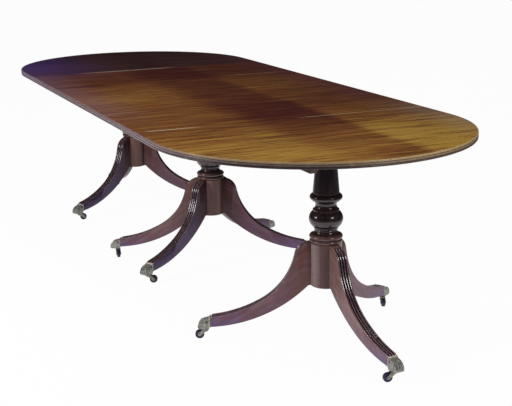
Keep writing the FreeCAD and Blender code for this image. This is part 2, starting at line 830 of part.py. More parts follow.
# Each pedestal: its place along the table and the directions of its legs.
pedestals = {
    "near": ("sizes.pedestal_spacing", nearAngles),
    "centre": ("0", fourAngles),
    "far": ("-sizes.pedestal_spacing", farAngles),
}

for name, (x, legAngles) in pedestals.items():
    keep(copyOf(masters[name + "_post"], name + "_column_copy", x), name + "_column")
    keep(copyOf(masters["block"], name + "_block_copy", x), name + "_block")
    rails = []
    for side, way in (("left", "-"), ("right", "")):
        rails.append(copyOf(masters["bearer"], "%s_bearer_%s" % (name, side), x, way + "sizes.bearer_y"))
    keep(group(name + "_bearer_pair", rails), name + "_bearers")
    caps = []
    for index, angle in enumerate(legAngles):
        number = index + 1
        legCopy = copyOf(masters["leg"], "%s_leg_copy_%d" % (name, number), x, turn=angle)
        keep(legCopy, "%s_leg_%d" % (name, number))
        caps.append(copyOf(masters["cap"], "%s_cap_%d" % (name, number), x, turn=angle))
        pintleX = "%s + sizes.pintle_x * cos(%s)" % (x, angle)
        pintleY = "sizes.pintle_x * sin(%s)" % angle
        trail = "sizes.%s_trail_%d" % (name, number)
        forkCopy = copyOf(masters["fork"], "%s_fork_copy_%d" % (name, number), pintleX, pintleY, turn=trail)
        keep(forkCopy, "%s_fork_%d" % (name, number))
        axleX = "%s + sizes.caster_trail * cos(%s)" % (pintleX, trail)
        axleY = "%s + sizes.caster_trail * sin(%s)" % (pintleY, trail)
        wheelCopy = copyOf(
            masters["wheel"], "%s_wheel_copy_%d" % (name, number), axleX, axleY, "sizes.wheel_radius", trail
        )
        keep(wheelCopy, "%s_wheel_%d" % (name, number))
    keep(group(name + "_cap_set", caps), name + "_caps")

keep(copyOf(masters["centre"], "centre_board_copy"), "centre_top")
for name, way, turn in (("near", "", "0"), ("far", "-", "180")):
    keep(copyOf(masters["leaf"], name + "_leaf_copy", way + "sizes.leaf_x", turn=turn), name + "_leaf")
    keep(copyOf(masters["end"], name + "_end_copy", way + "sizes.end_x", turn=turn), name + "_end_top")

# Hooks swing under the leaves: open at rest, along the seam, with studs on the sections that they catch.
studs = {"near_end": [], "far_end": [], "centre": []}
for leaf, way in (("near", 1), ("far", -1)):
    for seam, out in (("end", 1), ("centre", -1)):
        latched = 0 if way * out > 0 else 180
        pivotX = "%d * sizes.leaf_x + %d * sizes.leaf_hook_x" % (way, way * out)
        studX = "%s + %d * sizes.hook_reach" % (pivotX, way * out)
        for number, side in ((1, 1), (2, -1)):
            y = "%d * sizes.hook_y" % side
            opening = 90 * side * way * out
            hand = "hook_left" if opening > 0 else "hook_right"
            name = "%s_%s_hook_%d" % (leaf, seam, number)
            keep(copyOf(masters[hand], name + "_copy", pivotX, y, turn=str(latched - opening)), name)
            home = leaf + "_end" if seam == "end" else "centre"
            studs[home].append(copyOf(masters["stud"], name + "_stud", studX, y))
for home, members in studs.items():
    keep(group(home + "_stud_set", members), home + "_studs")

doc.recompute()
for item in doc.Objects:
    if "Invalid" in item.State or "Error" in item.State:
        raise RuntimeError("%s failed: %s" % (item.Label, item.State))
for label, body in parts.items():
    if body.Shape.isNull() or not body.Shape.isValid():
        raise RuntimeError(label + " has no valid shape")

os.makedirs("parts", exist_ok=True)
for label, body in parts.items():
    body.Shape.exportStep(os.path.join("parts", label + ".step"))
print(len(parts), "parts written")
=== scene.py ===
from math import atan, cos, dist, exp, pi, radians, sin, sqrt
import bmesh
import bpy
import numpy as np
from mathutils import Matrix, Vector


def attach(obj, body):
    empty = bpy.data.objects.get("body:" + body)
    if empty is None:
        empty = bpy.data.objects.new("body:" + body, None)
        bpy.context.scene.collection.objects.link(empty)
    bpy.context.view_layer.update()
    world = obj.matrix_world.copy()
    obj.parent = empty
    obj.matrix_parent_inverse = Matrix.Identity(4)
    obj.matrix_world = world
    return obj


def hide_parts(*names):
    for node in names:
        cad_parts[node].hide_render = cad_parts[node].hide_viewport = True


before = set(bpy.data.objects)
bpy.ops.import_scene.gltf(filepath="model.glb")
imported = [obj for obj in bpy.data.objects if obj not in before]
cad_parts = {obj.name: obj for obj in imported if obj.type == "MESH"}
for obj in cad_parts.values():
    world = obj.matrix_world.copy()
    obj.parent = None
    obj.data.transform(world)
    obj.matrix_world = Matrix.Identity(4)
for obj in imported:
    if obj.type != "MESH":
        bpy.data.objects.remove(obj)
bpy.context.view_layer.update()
scene = bpy.context.scene
scene.view_settings.view_transform = "Standard"
print("frame loaded:", len(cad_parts), "solids")

tableSet = {
    "height": 0.737, "halfWidth": 0.5715, "thickness": 0.022, "seamGap": 0.0004, "centreHalf": 0.374,
    "leafLength": 0.398, "endStraight": 0.1797, "pedestalX": 1.073,
}
halfWidth, thickness = tableSet["halfWidth"], tableSet["thickness"]
leafLength, seamGap = tableSet["leafLength"], tableSet["seamGap"]
underside = tableSet["height"] - thickness
leafX = tableSet["centreHalf"] + seamGap + leafLength / 2
seamX = leafX + leafLength / 2 + seamGap
endX = seamX + tableSet["endStraight"]
millimetres = Matrix.Scale(0.001, 4)  # for shapes that are drawn in millimetres
square = ((-1, -1), (1, -1), (1, 1), (-1, 1))

# place along the table, body, directions of the legs and of the casters at rest, and the tone of each leg,
# from -1 for violet, a painted reflection, to 1 for pale
pedestals = {
    "near": {"x": tableSet["pedestalX"], "body": "near_end", "legs": (4, 121.8, 243),
             "trails": (260, 341, 248), "tones": (0.7, 0.28, 0.3)},
    "centre": {"x": 0, "body": "centre", "legs": (60.6, 119.4, 240.6, 299.4),
               "trails": (205, 210, 350, 67), "tones": (-0.05, 0.1, 0.85, -0.8)},
    "far": {"x": -tableSet["pedestalX"], "body": "far_end", "legs": (180, 300, 60),
            "trails": (100, 105, 20), "tones": (0, -0.9, 0.15)},
}


class Wire:  # a node's socket that can be used in sums
    def __init__(self, tree, socket=None):
        self.tree = tree
        self.socket = socket

    def feed(self, socket, value):  # links a wire to a socket, or sets a plain value
        if isinstance(value, Wire):
            self.tree.links.new(value.socket, socket)
        else:
            socket.default_value = (*value, 1) if socket.type == "RGBA" else value

    def node(self, kind, inputs=(), out=0, **settings):
        made = self.tree.nodes.new(kind)
        for name, value in settings.items():
            setattr(made, name, value)
        for key, value in dict(inputs).items():
            self.feed(made.inputs[key], value)
        return Wire(self.tree, made.outputs[out])

    def calc(self, operation, first, second=0):
        return self.node("ShaderNodeMath", {0: first, 1: second}, operation=operation)

    def __add__(self, other):
        return self.calc("ADD", self, other)

    def __sub__(self, other):
        return self.calc("SUBTRACT", self, other)

    def __rsub__(self, other):
        return self.calc("SUBTRACT", other, self)

    def __mul__(self, other):
        return self.calc("MULTIPLY", self, other)

    __radd__ = __add__
    __rmul__ = __mul__

    def __abs__(self):
        return self.calc("ABSOLUTE", self)

    def most(self, other):
        return self.calc("MAXIMUM", self, other)

    def root(self):
        return self.calc("SQRT", self)

    def step(self, low, high):  # 0 below low, 1 above high, eased between
        ends = {"From Min": low, "From Max": high, "Value": self}
        return self.node("ShaderNodeMapRange", ends, interpolation_type="SMOOTHSTEP")

    def fall(self, low, high):  # 1 below low, 0 above high
        return 1 - self.step(low, high)

    def mix(self, first, second):  # from one colour to another
        return self.node("ShaderNodeMix", {0: self, 6: first, 7: second}, 2, data_type="RGBA")

    def stretch(self, x, y, z):
        return self.node("ShaderNodeVectorMath", {0: self, 1: (x, y, z)}, operation="MULTIPLY")

    def noise(self, scale, detail=4, rough=0.55, warp=0):
        inputs = {"Vector": self, "Scale": scale, "Detail": detail, "Roughness": rough, "Distortion": warp}
        return self.node("ShaderNodeTexNoise", inputs)

    def axis(self, name):
        return self.node("ShaderNodeSeparateXYZ", {0: self}, name)


def newMaterial(name):
    # an empty material, a wire to build with, and the socket that takes the surface
    material = bpy.data.materials.new(name)
    material.use_nodes = True
    tree = material.node_tree
    tree.nodes.clear()
    return material, Wire(tree), tree.nodes.new("ShaderNodeOutputMaterial").inputs[0]


def newFinish(name, colour, roughness, bump, more=()):
    # values are plain or functions that build nodes; a number as the bump is the scale of a speckle
    material, wire, surface = newMaterial(name)
    shader = wire.tree.nodes.new("ShaderNodeBsdfPrincipled")
    wire.tree.links.new(shader.outputs[0], surface)
    fields = {"Base Color": colour, "Roughness": roughness, **dict(more)}
    for socket, value in fields.items():
        wire.feed(shader.inputs[socket], value(wire) if callable(value) else value)
    height, depth = bump
    height = height(wire) if callable(height) else place(wire).noise(height, 4, 0.6)
    raised = wire.node("ShaderNodeBump", {"Height": height, "Strength": 1, "Distance": depth})
    wire.feed(shader.inputs["Normal"], raised)
    return material


def place(wire):
    return wire.node("ShaderNodeTexCoord", (), "Object")


def kept(wire, name, out="Vector"):  # stored on a leg's points before it was turned into place
    return wire.node("ShaderNodeAttribute", (), out, attribute_name=name)


def layered(colours, wood, coats):  # lays named colours over the wood, one after another
    for name, amount in coats:
        wood = amount.mix(wood, colours[name])
    return wood


topSet = {
    "golden": (0.274, 0.16, 0.031),
    "amber": (0.142, 0.056, 0.015),
    "redBrown": (0.049, 0.0115, 0.0085),
    "plumReflection": (0.033, 0.0155, 0.017),
    "blueReflection": (0.046, 0.024, 0.11),
    "pore": (0.02, 0.008, 0.006),
    "leftSheen": (0.125, 0.075, 0.115),
    "hazeSheen": (0.215, 0.165, 0.13),
    "redSheen": (0.085, 0.03, 0.034),
    "worn": (0.4, 0.33, 0.22),
}


def topSpan(spot, low, high):  # 1 on the boards between two places along the table
    x = spot.axis("X")
    edge = seamGap / 2
    return x.step(low - edge, low + edge) * x.fall(high - edge, high + edge)


def topEdge(spot):  # distance in from the outline of the top
    beyond = (abs(spot.axis("X")) - endX).most(0)
    y = spot.axis("Y")
    return halfWidth - (beyond * beyond + y * y).root()


def toneAndSheen(spot):
    # how golden the wood shows, partly its own tone and partly painted reflection: a golden sheen most at
    # the near end and along both sides, a painted dark reflection in a band down the middle
    drift = spot.stretch(1.6, 0.7, 1).noise(1, 2) - 0.5
    x = spot.axis("X") + drift * 0.16
    y = spot.axis("Y")
    nearLeaf = topSpan(spot, seamX - leafLength, seamX)
    farLeaf = topSpan(spot, -seamX, leafLength - seamX)
    patch = abs(x).fall(0.1, 0.34)
    left = 0.14 + x.step(-0.45, 0) * 0.19 + x.step(0.6, 1.38) * 0.41 + patch * 0.11
    band = 0.06 + x.step(0.66, 1.4) * 0.42 - nearLeaf * 0.08 - farLeaf * 0.1 + patch * 0.05
    right = 0.17 + x.step(0.45, 1.34) * 0.71 + patch * 0.17 + nearLeaf * 0.05 - farLeaf * 0.06
    atLeft = (y + drift * 0.1).fall(-0.22, -0.06)
    atRight = (y + drift * 0.06).step(0.135, 0.195)
    return band + atLeft * (left - band) + atRight * (right - band)


endSeam = seamX - seamGap / 2
innerSeam = tableSet["centreHalf"] + seamGap / 2
fromLeft, toRight = (-9, -8), (8, 9)  # wear and painted highlight that run out past the edge of the table
wornLitSeams = [  # place of the seam, half width of the wear and painted highlight, its start and end across the table, amount
    (endSeam, (0.0012, 0.004), (0, 0.12), toRight, 1),
    (endSeam, (0.003, 0.007), (-0.56, -0.5), (-0.4, -0.3), 1),
    (-endSeam, (0.004, 0.0085), (-0.42, -0.18), (0.06, 0.18), 1),
    (innerSeam, (0.001, 0.004), fromLeft, (-0.42, -0.32), 0.5),
    (-innerSeam, (0.0015, 0.005), (0.22, 0.3), (0.44, 0.52), 0.8),
]


def topSeams(spot):
    # pale stretches along the seams: worn wood, with a painted highlight where the seam edges catch light
    x = spot.axis("X")
    run = spot.axis("Y") + (spot.noise(4.5, 3, 0.6) - 0.5) * 0.16
    wear = None
    for along, half, start, end, amount in wornLitSeams:
        line = abs(x - along).fall(*half) * run.step(*start) * run.fall(*end) * amount
        wear = wear.most(line) if wear else line
    return wear


def topColour(wire):
    spot = place(wire)
    x = spot.axis("X")
    y = spot.axis("Y")
    back = x * -1
    left = y * -1
    figure = spot.stretch(1, 0.07, 1).noise(28, 6, 0.74, 0.12)
    streak = spot.stretch(1, 0.036, 1).noise(95, 5, 0.8, 0.08)
    fine = spot.stretch(1, 0.022, 1).noise(520, 3, 0.6)
    grain = (figure - 0.5) * 4.5 + (streak - 0.5) * 9
    tone = toneAndSheen(spot)
    tone = tone + 0.03 + grain * (0.17 + tone * 0.24)
    far = topSpan(spot, -2, -seamX)
    middle = abs(y - 0.04).fall(0, 0.16)
    # zones of painted sheen along the left and right edges of the top
    leftSheenZone = (left + grain * 0.02).step(0.36, 0.58) * x.fall(0.1, 0.75) * (1 - far * 0.8)
    rightSheenZone = (y + grain * 0.03).step(0.34, 0.62)
    # pale band just inside the outline: wear, and a painted highlight on the rounded edge
    rubbedAndLitEdge = topEdge(spot).fall(0.0015, 0.0065) * spot.noise(14, 4, 0.6).step(0.3, 0.66)
    return layered(topSet, topSet["redBrown"], (
        ("amber", tone * 2),
        ("golden", tone * 2 - 1),
        ("pore", (grain * -1).step(0.35, 1.4) * (0.52 - tone * 0.3)),
        # painted reflection: a plum tint over the far board
        ("plumReflection", far * (0.86 - grain * 0.3)),
        # painted dark reflection in a band down the middle of the far board
        ("pore", far * middle * 0.45 * back.fall(0.9, 1.3)),
        # painted reflection: blue towards the far left
        ("blueReflection", (left + grain * 0.04).step(0.04, 0.6) * back.step(0.42, 1.2) * 0.92),
        # painted sheen along the edges
        ("leftSheen", leftSheenZone * 0.38),
        ("hazeSheen", rightSheenZone * x.step(0.45, 0.85) * 0.45),
        ("redSheen", rightSheenZone * x.fall(0.3, 0.8) * 0.75),
        ("pore", fine.step(0.58, 0.74) * 0.35),
        # worn wood and painted highlight along the seams
        ("worn", topSeams(spot) * 0.75),
        ("worn", rubbedAndLitEdge * 0.45),
    ))


def topRoughness(wire):
    spot = place(wire)
    return 0.2 + spot.noise(9, 4) * 0.14 + spot.stretch(1, 0.03, 1).noise(420, 2) * 0.1


def topGrain(wire):
    spot = place(wire)
    pores = spot.stretch(1, 0.022, 1).noise(620, 3, 0.6)
    return pores * 0.7 + spot.stretch(1, 0.05, 1).noise(60, 3) * 0.3


rimSet = {  # upper, middle and lower reed, then the grooves between them; the reeds' colours are painted light and shade, the upper reed lit from above at the near end, a greyer painted sheen along the sides, the grooves painted shade
    "side": ((0.128, 0.08, 0.084), (0.17, 0.122, 0.128), (0.112, 0.086, 0.092), (0.05, 0.034, 0.037)),
    "front": ((0.215, 0.145, 0.08), (0.095, 0.064, 0.054), (0.03, 0.018, 0.018), (0.022, 0.013, 0.011)),
    "right": ((0.33, 0.222, 0.108), (0.2, 0.138, 0.082), (0.07, 0.046, 0.032), (0.07, 0.042, 0.022)),
    "violetReflection": (0.215, 0.175, 0.25),
    "dark": (0.016, 0.008, 0.008),
    "worn": (0.4, 0.32, 0.26),
    "blend": 0.0004, "grooveHalf": (0.0005, 0.0015),
}


def rimColour(wire):
    # painted light: the upper reed lit golden at the near end and the lower reeds darker, a greyer painted
    # sheen along the sides, a painted violet reflection towards the far end and painted shade in the
    # grooves; scuffed wear all along
    spot = place(wire)
    x = spot.axis("X")
    z = spot.axis("Z")
    front = x.step(0.85, 1.3)
    right = front * spot.axis("Y").step(-0.3, 0.12)
    parts = zip(rimSet["side"], rimSet["front"], rimSet["right"])
    upper, middle, lower, groove = [right.mix(front.mix(a, b), c) for a, b, c in parts]
    wood = lower
    lines = []
    # the reeds coloured one above another: painted light and shade from the way light falls on them
    for part, above in ((1 / 3, middle), (2 / 3, upper)):
        level = underside + thickness * part
        wood = z.step(level - rimSet["blend"], level + rimSet["blend"]).mix(wood, above)
        # painted shade along each groove
        lines.append(abs(z - level).fall(*rimSet["grooveHalf"]))
    grooves = lines[0].most(lines[1])
    # painted reflection: violet towards the far end
    wood = ((x * -1).step(0.2, 1.2) * 0.75).mix(wood, rimSet["violetReflection"])
    # painted shade in the grooves
    wood = (grooves * 0.9).mix(wood, groove)
    streak = spot.stretch(1, 1, 12).noise(38, 5, 0.6).step(0.45, 0.75)
    scuffs = spot.noise(52, 5, 0.65).step(0.54, 0.74) * (1 - grooves)
    return layered(rimSet, wood, (("dark", streak * 0.22), ("worn", scuffs * 0.3)))


columnSet = {
    "wood": (0.034, 0.019, 0.02),
    "dark": (0.007, 0.004, 0.004),
    "brown": (0.19, 0.09, 0.07),
    # painted highlight and painted shade for the two sides of the near foot
    "litFoot": (0.19, 0.135, 0.132),
    "deep": (0.072, 0.034, 0.031),
    "ring": (0.095, 0.046, 0.044),
    "footTop": (0.354, 0.358),
    "ringTop": (0.385, 0.389),
    "polishLow": (0.352, 0.36),
}


def columnColour(wire):
    s = columnSet
    spot = place(wire)
    z = spot.axis("Z")
    streak = spot.stretch(1, 1, 0.07).noise(95, 6, 0.62, 0.3)
    turned = spot.stretch(0.02, 0.02, 1).noise(420, 2)
    wood = (streak.step(0.3, 0.75) * 0.8).mix(s["dark"], s["wood"])
    # near foot: painted highlight on the side towards -Y, painted shade on the side towards +Y
    near = spot.axis("Y").step(-0.056, -0.036).mix(s["litFoot"], s["deep"])
    foot = spot.axis("X").step(0.4, 0.6).mix(s["brown"], near)
    wood = (z.fall(*s["footTop"]) * (0.45 + streak * 0.8)).mix(wood, foot)
    rings = z.step(*s["footTop"]) * z.fall(*s["ringTop"])
    return layered(s, wood, (
        ("ring", rings * (0.3 + streak * 0.8)),
        ("dark", turned.step(0.55, 0.75) * 0.35),
    ))


def columnCoat(wire):  # polish is left on the turnings, worn off the foot
    return place(wire).axis("Z").step(*columnSet["polishLow"]) * 0.22


legSet = {
    "knee": (0.07, 0.027, 0.031),
    "shin": (0.098, 0.047, 0.076),
    "ankle": (0.122, 0.072, 0.142),
    "paleKnee": (0.13, 0.078, 0.064),
    "paleShin": (0.19, 0.1, 0.108),
    "paleAnkle": (0.15, 0.092, 0.132),
    "warm": (0.23, 0.118, 0.08),
    "violetReflection": (0.062, 0.047, 0.215),
    "russet": (0.125, 0.046, 0.034),
    "bloomAndEdgeHighlight": (0.25, 0.165, 0.18),
    "dark": (0.03, 0.012, 0.013),
    "reed": (0.15, 0.098, 0.112),
    # painted shade: near black on the floor between the reeds
    "groove": (0.006, 0.003, 0.004),
    "grainTurn": -0.59,
    "outerReed": (0.0172, 0.0179),  # how far out the outer faces of the reeds start
}


def legGrain(wire):  # straight along the leg, which is sawn from a plank
    inputs = {"Vector": kept(wire, "legPlace"), "Rotation": (0, legSet["grainTurn"], 0)}
    return wire.node("ShaderNodeMapping", inputs, vector_type="POINT")


def legStreak(wire):
    return legGrain(wire).stretch(0.045, 1, 1).noise(150, 6, 0.62, 0.3)


def legWood(wire):
    s = legSet
    span = kept(wire, "legSpan")  # X runs from the column to the cap, Y from the lower edge to the upper one
    cloud = kept(wire, "legPlace").stretch(1, 0.4, 1).noise(14, 3, 0.55, 0.4) - 0.5
    run = span.axis("X") + cloud * 0.16
    rise = span.axis("Y") + cloud * 0.5
    tone = kept(wire, "tone", "Fac")
    pale = tone.most(0)
    upper = run.step(0.1, 0.48)
    lower = run.step(0.5, 0.98)
    # darker at the knee, more violet towards the foot; the violet is painted reflection of bounce light
    deep = lower.mix(upper.mix(s["knee"], s["shin"]), s["ankle"])
    light = lower.mix(upper.mix(s["paleKnee"], s["paleShin"]), s["paleAnkle"])
    warm = rise.step(0.45, 1) * run.step(0.22, 0.42) * run.fall(0.62, 0.9)
    # painted reflection of bounce light: violet on the legs of low tone and along the lower edge near the
    # foot
    violetReflection = (tone * -0.85).most(0) * run.step(0, 0.45)
    foot = rise.fall(0.15, 0.6) * run.step(0.6, 0.98) * 0.4
    # painted highlight along the upper edge of the side
    edgeHighlight = span.axis("Y").step(0.92, 0.97) * run.step(0.2, 0.35)
    return layered(s, pale.mix(deep, light), (
        ("warm", warm * (0.15 + pale * 0.35)),
        # painted reflection: violet along the lower part of the side
        ("ankle", rise.fall(0, 0.5) * upper * 0.35),
        ("violetReflection", violetReflection.most(foot)),
        ("bloomAndEdgeHighlight", edgeHighlight * (0.3 + pale * 0.2)),
    ))


def legColour(wire):
    mottle = legGrain(wire).stretch(0.2, 1, 1).noise(75, 5, 0.72, 0.3)
    return layered(legSet, legWood(wire), (
        ("russet", mottle.step(0.42, 0.66) * 0.5),
        ("bloomAndEdgeHighlight", mottle.fall(0.32, 0.5) * 0.24),
        ("dark", legStreak(wire).fall(0.3, 0.58) * 0.32),
    ))


def reedColour(wire):
    # the outer reeds' outer faces are part of the leg's sides
    wood = legStreak(wire).step(0.2, 0.7).mix(legSet["dark"], legSet["reed"])
    outer = abs(kept(wire, "legPlace").axis("Y")).step(*legSet["outerReed"])
    return outer.mix(wood, legWood(wire))


def legBump(wire):
    return legGrain(wire).stretch(0.03, 1, 1).noise(700, 3, 0.6)


underSet = {"wood": (0.115, 0.062, 0.038), "dark": (0.045, 0.024, 0.018), "dust": (0.17, 0.13, 0.11)}


def underColour(wire):
    spot = place(wire)
    streak = spot.stretch(0.05, 1, 1).noise(110, 5, 0.6, 0.2)
    wood = streak.step(0.28, 0.72).mix(underSet["dark"], underSet["wood"])
    return (spot.noise(7, 5, 0.6).step(0.45, 0.75) * 0.4).mix(wood, underSet["dust"])


brassSet = {
    "metal": (0.4, 0.385, 0.345),
    "bright": (0.74, 0.68, 0.5),
    "fork": (0.34, 0.315, 0.265),
    "forkAged": (0.085, 0.078, 0.082),
    "aged": (0.185, 0.185, 0.172),
    "grime": (0.03, 0.029, 0.026),
    "collarTop": (0.072, 0.08),
}


def brassColour(wire):
    spot = place(wire)
    aged = spot.noise(105, 5, 0.62, 0.4).step(0.36, 0.64)
    grime = spot.noise(210, 4, 0.6).step(0.54, 0.76)
    return layered(brassSet, brassSet["metal"], (("aged", aged), ("grime", grime * 0.85)))


def brassRoughness(wire):
    return 0.34 + place(wire).noise(130, 4, 0.6) * 0.3


def collarColour(wire):  # brighter along the top only
    spot = place(wire)
    aged = spot.noise(150, 5, 0.62).step(0.42, 0.7)
    bright = spot.axis("Z").step(*brassSet["collarTop"])
    return layered(brassSet, brassSet["metal"], (("bright", bright), ("aged", aged * 0.75)))


def casterColour(wire):
    aged = place(wire).noise(170, 5, 0.62).step(0.36, 0.66)
    return (aged * 0.85).mix(brassSet["fork"], brassSet["forkAged"])


wheelSet = {"metal": (0.026, 0.021, 0.056), "worn": (0.12, 0.11, 0.17)}


def wheelColour(wire):
    return place(wire).noise(240, 4, 0.6).step(0.55, 0.8).mix(wheelSet["metal"], wheelSet["worn"])


varnish = {"Specular Tint": (1, 0.8, 0.88)}  # reddish polish on the pedestals
screwGrey = (0.028, 0.026, 0.024)
finishSet = {  # name, colour, roughness, bump and its depth, other inputs
    "top": ("polishedTop", topColour, topRoughness, (topGrain, 0.00012), {"Specular IOR Level": 0.05}),
    "rim": ("reededRim", rimColour, 0.28, (300, 0.00015)),
    "column": ("turnedWood", columnColour, 0.19, (160, 0.00003), {
        **varnish, "Coat Weight": columnCoat, "Coat Roughness": 0.12, "Coat IOR": 2.1}),
    "leg": ("legWood", legColour, 0.32, (legBump, 0.00008), varnish),
    "reed": ("reedWood", reedColour, 0.24, (legBump, 0.00001), {
        **varnish, "Coat Weight": 1, "Coat Roughness": 0.16, "Coat IOR": 2.8}),
    # painted shade for the grooves between the reeds
    "groove": ("grooveWood", legSet["groove"], 0.6, (legBump, 0.0001), {"Specular IOR Level": 0.1}),
    "under": ("plainUnderWood", underColour, 0.62, (220, 0.0003), {"Specular IOR Level": 0.3}),
    "cap": ("agedBrass", brassColour, brassRoughness, (260, 0.0006), {"Metallic": 0.55}),
    "collar": ("wornBrass", collarColour, 0.36, (320, 0.0002), {"Metallic": 0.6}),
    "caster": ("casterBrass", casterColour, 0.34, (300, 0.0002), {"Metallic": 0.6}),
    "wheel": ("darkRoller", wheelColour, 0.36, (340, 0.0002), {"Metallic": 0.35}),
    "screw": ("darkScrew", screwGrey, 0.5, (500, 0.0001), {"Metallic": 0.6}),
}
finishes = {key: newFinish(*spec) for key, spec in finishSet.items()}
print("finishes made:", len(finishes))


def arcPoints(start, end, rise, count):
    # points after start, up to end, on an arc that bulges by rise to the right of the way
    start, end = np.array(start, float), np.array(end, float)
    if rise == 0:
        return [tuple(end)]
    reach = (end - start) / 2
    aside = np.array([reach[1], -reach[0]])
    half = 2 * atan(rise / np.linalg.norm(reach))
    points = []
    for turn in np.linspace(-half, half, count + 1)[1:]:
        along, out = sin(turn) / sin(half), (cos(turn) - cos(half)) / sin(half)
        points.append(tuple((start + end) / 2 + reach * along + aside * out))
    return points


def trace(points, count):
    # a line through (x, y) or (x, y, rise) points; a rise makes an arc to the next one
    line = [points[0][:2]]
    for here, there in zip(points, points[1:]):
        line += arcPoints(here[:2], there[:2], sum(here[2:]), count)
    return line


def resample(line, count):
    line = np.array(line, float)
    run = np.insert(np.cumsum(np.linalg.norm(np.diff(line, axis=0), axis=1)), 0, 0)
    want = np.linspace(0, run[-1], count)
    return np.stack([np.interp(want, run, part) for part in line.T], 1)


def leftward(line):  # unit vectors to the left of the way along a line
    lean = np.gradient(line, axis=0)
    lean /= np.linalg.norm(lean, axis=1)[:, None]
    return np.stack([-lean[:, 1], lean[:, 0]], 1)


def skin(bm, low, high, slot=0):
    # faces between two rings, one of which may be a single point
    count = max(len(low), len(high))
    for i in range(count):
        j = (i + 1) % count
        corners = (low[i % len(low)], low[j % len(low)], high[j % len(high)], high[i % len(high)])
        bm.faces.new(list(dict.fromkeys(corners))).material_index = slot


def addLathe(bm, profile, segments, where, closed=False):
    # turns (radius, height) points about Z; closed joins the last ring to the first
    rings = []
    for radius, height in profile:
        turns = [2 * pi * i / segments for i in range(segments if radius else 1)]
        spots = [Vector((radius * cos(a), radius * sin(a), height)) for a in turns]
        rings.append([bm.verts.new(where @ spot) for spot in spots])
    for low, high in zip(rings, rings[1:] + rings[:closed]):
        skin(bm, low, high)


def addLoft(bm, loops, slot=0, where=Matrix.Identity(4)):
    # skins closed loops of equal length, and closes both ends
    rings = [[bm.verts.new(where @ Vector(p)) for p in loop] for loop in loops]
    for low, high in zip(rings, rings[1:]):
        skin(bm, low, high, slot)
    for end in (rings[0][::-1], rings[-1]):
        bm.faces.new(end).material_index = slot


def roundedLoop(wide, low, high, radius, x, count=5):
    # a rounded rectangle in the plane of one x; wide is half its width
    wide, low, high = wide - radius, low + radius, high - radius
    loop = []
    for start, y, z in ((0, wide, high), (90, -wide, high), (180, -wide, low), (270, wide, low)):
        for a in np.radians(np.linspace(start, start + 90, count + 1)):
            loop.append((x, y + radius * cos(a), z + radius * sin(a)))
    return loop


def plainMesh(bm, name):
    mesh = bpy.data.meshes.new(name)
    bm.to_mesh(mesh)
    bm.free()
    return mesh


def joined(meshes, name):
    bm = bmesh.new()
    for mesh in meshes:
        bm.from_mesh(mesh)
    return plainMesh(bm, name)


def placed(mesh, where):
    mesh = mesh.copy()
    mesh.transform(where)
    return mesh


def addFinishes(mesh, keys):
    for key in keys[len(mesh.materials):]:
        mesh.materials.append(finishes[key])


def finishMesh(mesh, keys, sharp):
    addFinishes(mesh, keys)
    mesh.polygons.foreach_set("use_smooth", [True] * len(mesh.polygons))
    mesh.set_sharp_from_angle(angle=radians(sharp))
    mesh.update()
    return mesh


def toMesh(bm, name, keys, sharp):
    bmesh.ops.recalc_face_normals(bm, faces=bm.faces)
    return finishMesh(plainMesh(bm, name), keys, sharp)


def addObject(name, data):
    obj = bpy.data.objects.new(name, data)
    scene.collection.objects.link(obj)
    return obj


def addPiece(name, mesh, body, standsFor=()):
    piece = addObject(name, mesh)
    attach(piece, body)
    if standsFor:
        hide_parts(*standsFor)


def baked(obj, name):
    # what an object's modifiers make of it, as a plain mesh in its place
    depsgraph = bpy.context.evaluated_depsgraph_get()
    mesh = bpy.data.meshes.new_from_object(obj.evaluated_get(depsgraph))
    mesh.name = name
    bpy.data.objects.remove(obj)
    return mesh


boardSet = {
    "finishes": ("top", "rim", "under"),
    "reeds": 3, "reedDepth": 0.0024, "reedFullness": 0.8, "reedSteps": 8, "arcSteps": 96,
    "tongue": (0.06, 0.008, 0.016),  # width, thickness, length
    "tongueNose": (0.002, 0.0012),  # length and ease
    "tongueY": (-0.31, 0.31), "tongueRoot": 0.01, "tongueCorner": 0.0015,
    "slack": 0.0003, "mouth": 0.002, "spare": 0.0005,  # room round a tongue, at the seam and at its end
}


def edgeProfile():
    # (inset, height) from the underside to the top, round three reeds
    band = thickness / boardSet["reeds"]
    profile = []
    for reed in range(boardSet["reeds"]):
        for a in np.linspace(0, pi, boardSet["reedSteps"] + 1):
            inset = boardSet["reedDepth"] * (1 - sin(a) ** boardSet["reedFullness"])
            profile.append((inset, underside + band * (reed + (1 - cos(a)) / 2)))
    return profile


def mortiseMesh(seams):
    # a box round each tongue that comes in through a seam, with some slack
    width, thick, length = boardSet["tongue"]
    slack = boardSet["slack"] * 2
    mouth, depth = boardSet["mouth"], length + boardSet["spare"]
    size = Matrix.Diagonal((depth + mouth, width + slack, thick + slack, 1))
    bm = bmesh.new()
    for x, way in seams:
        for y in boardSet["tongueY"]:
            middle = (x - way * (depth - mouth) / 2, y, underside + thickness / 2)
            bmesh.ops.create_cube(bm, size=1, matrix=Matrix.Translation(middle) @ size)
    return plainMesh(bm, "mortises")


def tongueMesh(x, y, way):
    # tongue with a nose that is eased all round
    width, thick, length = boardSet["tongue"]
    nose, noseEase = boardSet["tongueNose"]
    middle = underside + thickness / 2
    bm = bmesh.new()
    loops = []
    for reach, ease in ((-boardSet["tongueRoot"], 0), (length - nose, 0), (length, noseEase)):
        loops.append(roundedLoop(width / 2 - ease, middle - thick / 2 + ease, middle + thick / 2 - ease,
                                 boardSet["tongueCorner"], x + way * reach, 3))
    addLoft(bm, loops, 2, Matrix.Translation((0, y, 0)))
    bmesh.ops.recalc_face_normals(bm, faces=bm.faces)
    return plainMesh(bm, "tongue")


